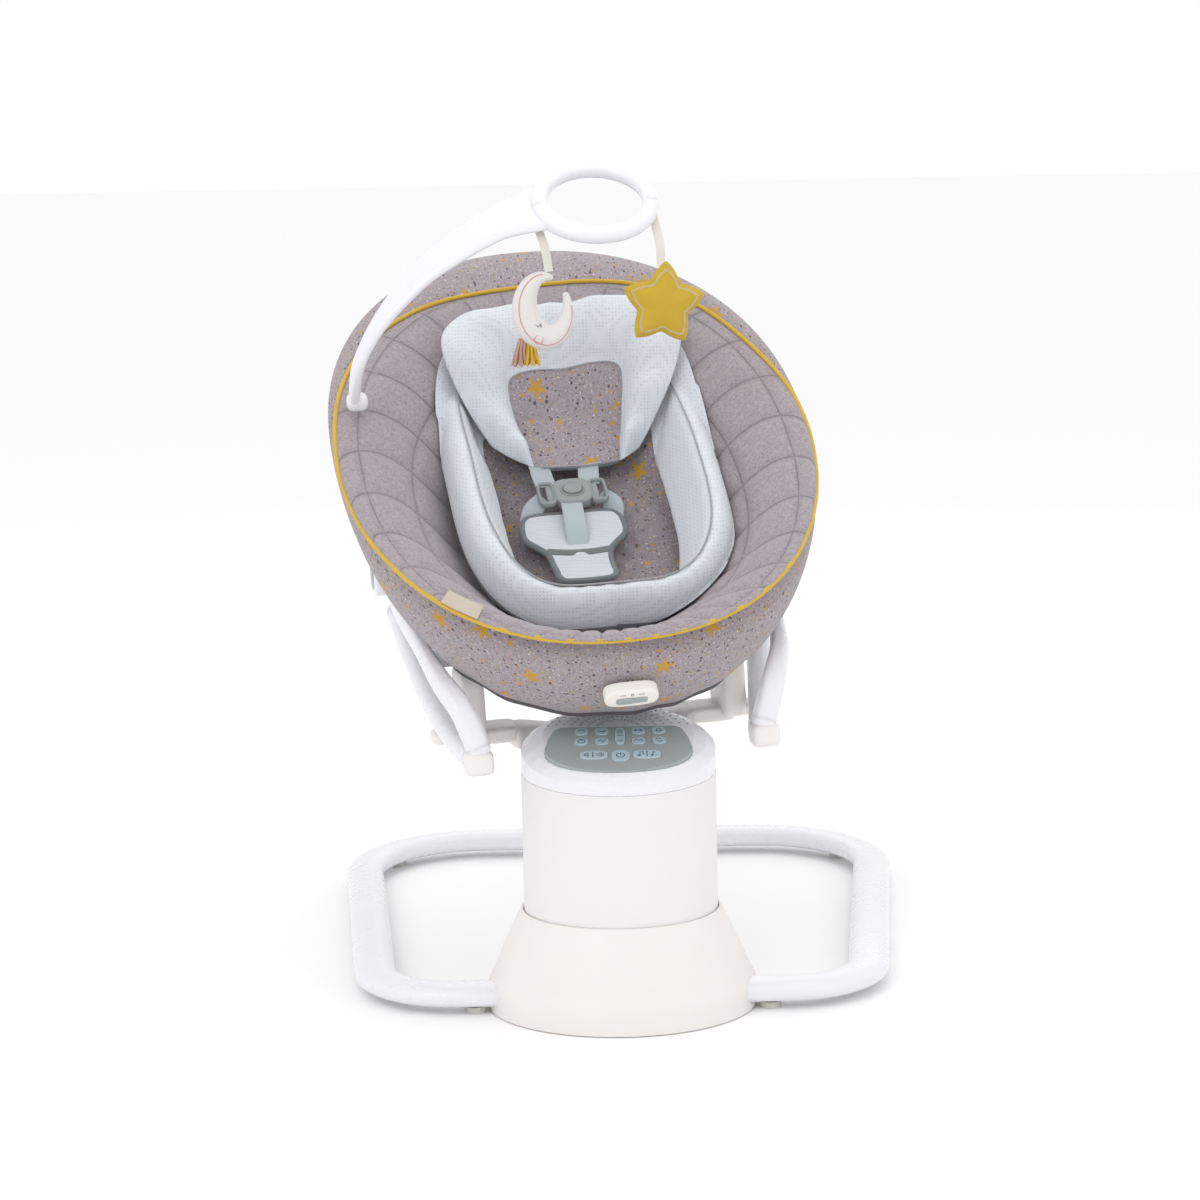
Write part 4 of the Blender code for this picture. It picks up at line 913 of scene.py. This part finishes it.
def make_harness():
    """Two waist, two shoulder tapes and a crotch tape meeting at the buckle, over a bound crotch cushion."""
    low = STRAP_FLOOR + 0.011
    waist = tape([(-0.058, -0.086, low - 0.005), (-0.057, -0.064, low - 0.002), (-0.050, -0.044, low + 0.006),
                  (-0.036, -0.034, low + 0.012)])
    other = tape([(0.044, -0.086, low - 0.005), (0.046, -0.064, low - 0.002), (0.048, -0.044, low + 0.006),
                  (0.036, -0.034, low + 0.012)])
    shoulders = [tape([(x0, -0.016, low + 0.016), (x1, 0.020, low + 0.010), (x2, 0.072, low + 0.020)])
                 for x0, x1, x2 in ((-0.030, -0.031, -0.033), (0.024, 0.029, 0.036))]
    crotch = tape([(-0.004, -0.040, low + 0.018), (-0.006, -0.075, low + 0.020),
                   (-0.007, -0.100, low + 0.018), (-0.008, -0.124, low + 0.006)])
    made = seat_piece("harness_tapes", joined(waist, other, crotch, *shoulders), "webbing",
                      hides=["harness_straps"])

    right = [(0.000, -0.060), (0.044, -0.060), (0.058, -0.068), (0.062, -0.086), (0.060, -0.104),
             (0.046, -0.120), (0.037, -0.134), (0.034, -0.165), (0.033, -0.188), (0.022, -0.198)]
    outline = smooth_path(np.array(right + [(-x, y) for x, y in right[::-1] if x > 0]), 5, closed=True)
    outline = outline + (-0.008, 0)
    pad = prism(outline, 0, 0.0065, 0.0028, 5)

    def base(points):
        """Laid on the floor, rising by 0.35 of the distance past its foot end."""
        rise = low + 0.003 + 0.35 * np.clip(-points[:, 1] - 0.15, 0, 1)
        return seated(np.column_stack((points[:, :2], points[:, 2] + rise)))

    made = piece("crotch_cushion", placed(pad, how=base), "seat", "pad_fabric", hides=["crotch_pad"])
    x = np.linspace(-0.046, 0.032, 12)
    cross = np.column_stack((x, -0.128 - 0.006 * (1 - (x / 0.045) ** 2), np.full(12, 0.0066)))
    trim = joined(swept(level(outline, 0.0033), 0.0042, 0.0038, count=14, closed=True, power=2.4),
                  swept(cross, 0.0052, 0.0010, count=12, power=3))
    piece("crotch_binding", placed(trim, how=base), "seat", "pad_fabric", "binding")


def make_buckle():
    """A rounded square body between two open tongues, with the press pad in its well."""
    top = -0.085
    body = prism(superellipse(0.0235, 0.0225, 3.6, 72), -0.008, 0.0062, 0.0030, 5)
    body = placed(body, (0, -0.032, top))
    well = swept(level(superellipse(0.0140, 0.0116, 2.0, 56) + (0, -0.032), top + 0.0064), 0.0012, 0.0012,
                 count=10, closed=True)
    tongues = []
    for sign in (-1, 1):
        window = superellipse(0.0092, 0.0185, 5.0, 48) + (sign * 0.0322, -0.032)
        tongues.append(swept(level(window, top + 0.0005), 0.0022, 0.0045, count=14, closed=True, power=3))
        tongues.append(soft_box((sign * 0.0265, -0.032, top - 0.001), (0.0060, 0.0165, 0.0035), 5))
    made = seat_piece("buckle_body", joined(body, well, *tongues), "buckle_grey", hides=["buckle"])
    sharpened(made, 50)
    button = prism(superellipse(0.0119, 0.0094, 2.0, 56), -0.003, 0.0098, 0.0016, 4)
    piece("buckle_press_pad", placed(button, (0, -0.032, top), how=seated), "buckle_release", "buckle_grey",
          hides=["buckle_button"])


# ------------------------------------------------------------------ vibration unit, toys
def unit_place(points):
    """From the vibration unit's own frame to the rim's plane at the foot of the bowl."""
    angle = math.radians(18)
    wall = np.array((0, -SEAT_B * math.cos(angle) - BOWL_SHIFT * math.sin(angle) - 0.013,
                     -BOWL_DEPTH * math.sin(angle) - 0.002))
    return seated(points @ turn((1, 0, 0), math.radians(96)).T + wall)


def make_vibration_unit():
    """A rounded housing with a framed window, a ribbed slider in it and three marks above."""
    shell = prism(superellipse(0.0310, 0.0135, 3.2, 88), -0.0085, 0.0085, 0.0030, 5)
    rim = level(superellipse(0.0186, 0.0058, 6.0, 56) + (0, -0.0015), 0.0086)
    made = piece("unit_shell", placed(joined(shell, swept(rim, 0.0007, 0.0007, count=8, closed=True)),
                                      how=unit_place), "seat", "cream_plastic", hides=["vibration_unit"])
    bed = prism(superellipse(0.0180, 0.0052, 6.0, 56) + (0, -0.0015), 0.0080, 0.0090, 0.0002, 2)
    piece("unit_window", placed(bed, how=unit_place), "seat", "grey_plastic")
    knob = prism(superellipse(0.0095, 0.0046, 5.0, 40) + (-0.0075, -0.0015), 0.0082, 0.0108, 0.0010, 4)
    ribs = [soft_box((-0.0075 + x, -0.0015, 0.0108), (0.0007, 0.0036, 0.0006), 3, 16)
            for x in (-0.0035, 0.0, 0.0035)]
    piece("unit_slider", placed(joined(knob, *ribs), how=unit_place), "vibration_slider", "grey_plastic",
          hides=["vibration_switch"])
    marks = [swept([(x - 0.003, 0.0078, 0.0086), (x + 0.003, 0.0078, 0.0086)], 0.0004, 0.0002, count=8)
             for x in (-0.011, 0.011)]
    dot = swept(level(ring_line(0.0016, 0, 360, 17)[:-1] + (0, 0.0078), 0.0086), 0.0003, 0.0002, count=8,
                closed=True)
    piece("unit_marks", placed(joined(*marks, dot), how=unit_place), "seat", "cream_plastic", "icon_ink")


TOY_ROOT, TOY_RING = (-0.258, 0.055, 0.012), np.array((0.047, 0.140, 0.226))


def make_toy_bar():
    """A flat bar rising from its socket and widening into a hoop, with two small hook pads."""
    route = smooth_path([TOY_ROOT, (-0.2535, 0.045, 0.075), (-0.232, 0.060, 0.115), (-0.199, 0.078, 0.150),
                         (-0.155, 0.098, 0.182), (-0.084, 0.122, 0.212),
                         (TOY_RING[0] - 0.064, 0.137, 0.225)], 14)
    along = np.linspace(0, 1, len(route))
    width = np.interp(along, (0, 0.12, 0.3, 0.6, 0.85, 1.0), (0.0085, 0.0105, 0.0150, 0.0205, 0.0290, 0.0430))
    lean = np.stack((np.full(len(route), -0.9) * (1 - smoothstep((along - 0.3) / 0.5)), np.zeros(len(route)),
                     0.15 + smoothstep((along - 0.15) / 0.5)), -1)
    arch = swept(route, width, 0.0072, up=lean, power=2.6, count=36)
    foot = soft_box((TOY_ROOT[0] + 0.004, TOY_ROOT[1], TOY_ROOT[2] + 0.004), (0.013, 0.011, 0.010), 3.0)
    t = TAU * np.arange(96) / 96
    band = 0.0105 + 0.0015 * np.cos(t + 2.2)
    middle = 0.0570 + band
    hoop = TOY_RING + np.stack((middle * np.cos(t), middle * np.sin(t), np.zeros(96)), -1)
    ring = swept(hoop, band, 0.0085, power=2.6, count=32, closed=True)
    pads = [soft_box(TOY_RING + np.array((x, y, 0.004)), (0.0062, 0.0062, 0.0075), 2.6, 28)
            for x, y in ((-0.073, -0.004), (0.067, -0.010))]
    piece("toy_hoop", placed(joined(arch, ring, foot, *pads), how=seated), "toy_arch", "white_plastic",
          hides=["toy_bar"])


def standing(hang, drop):
    """The placing of a toy drawn flat in x and y, stood up below its hook."""
    return lambda points: swung(points[:, (0, 2, 1)] * (1, -1, 1) + hang - (0, 0, drop))


def toy_ribbon(toy, slot, stand, route, width):
    """The flat ribbon from the hoop down to a toy."""
    made = piece(f"{toy}_ribbon", placed(tape(route, width, 0.0010), how=stand), toy, slot, "thread_white")


MOON_HANG, STAR_HANG = np.array((-0.027, 0.190, 0.890)), np.array((0.112, 0.175, 0.897))


def make_moon():
    """A plush crescent: sections whose width grows and shrinks along an arc open up and to the right."""
    t = np.linspace(0, 1, 60)
    angle = np.radians(75 + 305 * t)
    arc = np.stack((0.026 * np.cos(angle), 0.036 * np.sin(angle), 0 * t), -1)
    half = 0.0040 + 0.0130 * np.sin(math.pi * t ** 0.95) ** 1.1
    thick = 0.004 + 0.0095 * np.sin(math.pi * t) ** 0.7
    body = swept(arc, half, thick, power=2.0, count=32, round_end=1.0)
    stand = standing(MOON_HANG, 0.083)
    made = piece("moon_plush", placed(body, how=stand), "moon", "toy_cream", hides=["moon_toy"])
    inset = np.stack((half * 0.55 * np.cos(angle), half * 0.55 * np.sin(angle), thick * 0.84), -1)
    seam = swept((arc + inset)[4:-4], 0.0006, 0.0008, count=8)
    mouth = level(ring_line(0.0052, 0, 360, 25)[:-1] + (-0.0135, -0.0370), 0.0126)
    threads = joined(seam, swept(mouth, 0.0006, 0.0008, count=8, closed=True))
    piece("moon_pink_thread", placed(threads, how=stand), "moon", "toy_cream", "thread_pink")
    lid = level(ring_line(0.0045, 205, 335, 9) + (-0.0135, -0.0165), 0.0123)
    lashes = [swept([(x, y, 0.0122), (x + dx, y - 0.0028, 0.0122)], 0.0003, 0.0006, count=6) for x, y, dx in
              ((-0.0170, -0.0190, -0.0012), (-0.0135, -0.0208, 0.0), (-0.0100, -0.0190, 0.0012))]
    piece("moon_eye", placed(joined(swept(lid, 0.0004, 0.0007, count=8), *lashes), how=stand), "moon",
          "toy_cream", "thread_black")
    for name, x0, spread in (("tan", -0.032, -0.005), ("yellow", -0.021, -0.001)):
        threads = []
        for i in range(9):
            x = x0 + 0.0013 * (i - 4)
            line = smooth_path([(x * 0.9 - 0.002, -0.036, 0.0),
                                (x + spread * 0.5, -0.048, 0.003 * math.sin(i * 2.1)),
                                (x + spread + 0.0009 * (i - 4), -0.0655 - 0.0012 * (i % 3),
                                 0.004 * math.sin(i * 1.7))], 4)
            threads.append(swept(line, 0.0014, 0.0012, count=8))
        piece(f"moon_tassel_{name}", placed(joined(*threads), how=stand), "moon", "toy_cream",
              f"thread_{name}")
    toy_ribbon("moon", "toy_cream", stand,
               [(-0.001, 0.103, -0.031), (0.001, 0.086, -0.018), (0.004, 0.066, -0.003), (0.006, 0.042, 0.0)],
               0.0102)


def make_star():
    """A plush star: the reach goes with the angle between tip and notch, and the swell falls to the seam."""
    count = 200
    t = TAU * np.arange(count) / count
    ray = np.abs(((t - math.radians(8)) * 5 / TAU) % 1.0 - 0.5) * 2
    edge = (0.0330 + 0.0225 * (np.sqrt(ray ** 2 + 0.03) - 0.17) ** 1.10)[:, None]
    heading = np.stack((np.sin(t), np.cos(t)), -1)
    rings = []
    rho = np.sin(np.linspace(0.04, math.pi / 2, 22))
    for share, face in [(r, 1) for r in rho] + [(r, -1) for r in rho[-2::-1]]:
        swell = 0.0135 * (1 - share ** 2.2) ** 0.62 * face
        rings.append(level(edge * share * heading, swell))
    stand = standing(STAR_HANG, 0.096)
    made = piece("star_plush", placed(closed_skin(rings), how=stand), "star", "toy_yellow",
                 hides=["star_toy"])
    lines = []
    for share in (0.79, 0.83):
        height = 0.0135 * (1 - share ** 2.2) ** 0.62 + 0.0003
        lines.append(swept(level(edge * share * heading, height), 0.00026, 0.00035, count=6, closed=True))
    piece("star_stitches", placed(joined(*lines), how=stand), "star", "toy_yellow", "thread_white")
    toy_ribbon("star", "toy_yellow", stand,
               [(0.0, 0.104, -0.031), (0.001, 0.086, -0.017), (0.001, 0.068, -0.003), (0.0, 0.046, 0.0)],
               0.0105)


# ------------------------------------------------------------------ scene
def light(name, place, aim, size, watts):
    """A square area light turned to its aim."""
    data = bpy.data.lights.new(name, "AREA")
    data.size, data.energy = size, watts
    made = bpy.data.objects.new(name, data)
    made.location = place
    made.rotation_euler = (Vector(aim) - Vector(place)).to_track_quat("-Z", "Y").to_euler()
    bpy.context.scene.collection.objects.link(made)


def make_scene():
    """The camera, the pale studio, four soft lights and the staged floor."""
    scene = bpy.context.scene
    data = bpy.data.cameras.new("camera")
    data.lens, data.sensor_width = 87, 36
    camera = bpy.data.objects.new("camera", data)
    camera.matrix_world = (Matrix.Translation((-0.018, -3.288, 1.06))
                           @ Matrix.Rotation(math.radians(80), 4, "X")
                           @ Matrix.Rotation(math.radians(-1.07), 4, "Z"))
    scene.collection.objects.link(camera)
    scene.camera = camera
    scene.view_settings.view_transform = "Standard"
    world = bpy.data.worlds.new("studio")
    world.use_nodes = True
    background = world.node_tree.nodes["Background"].inputs
    background["Color"].default_value = (1.0, 1.0, 1.0, 1.0)
    background["Strength"].default_value = 1.0
    scene.world = world
    light("key", (-1.6, -2.2, 2.8), (0, 0.1, 0.5), 1.8, 17)
    light("fill", (2.4, -1.6, 1.6), (0, 0.1, 0.5), 1.8, 5)
    light("top", (0.2, 0.6, 3.0), (0, 0.2, 0.5), 2.0, 9)
    light("back", (0.5, 3.2, 2.0), (0, 0.3, 0.6), 2.0, 6)
    ground = bpy.data.meshes.new("floor")
    ground.from_pydata([(-30, -30, 0), (30, -30, 0), (30, 30, 0), (-30, 30, 0)], [], [(0, 1, 2, 3)])
    pale = Finish("pale_floor", Base_Color=(0.96, 0.96, 0.96), Roughness=0.9, Specular_IOR_Level=0.1)
    ground.materials.append(pale.made)
    made = bpy.data.objects.new("floor", ground)
    scene.collection.objects.link(made)


def refinish_nodes():
    """CAD nodes that stay take the finish of their own slot."""
    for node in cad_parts.values():
        shown = node if isinstance(node, bpy.types.Object) else bpy.data.objects.get(str(node))
        for holder in shown.material_slots:
            name = holder.material.name.split(".")[0] if holder.material else ""
            if name in FINISH:
                holder.material = FINISH[name]


make_scene()
refinish_nodes()
make_base()
make_panel_marks()
make_rocker()
make_seat_cover()
make_body_support()
make_head_support()
make_harness()
make_buckle()
make_vibration_unit()
make_toy_bar()
make_moon()
make_star()
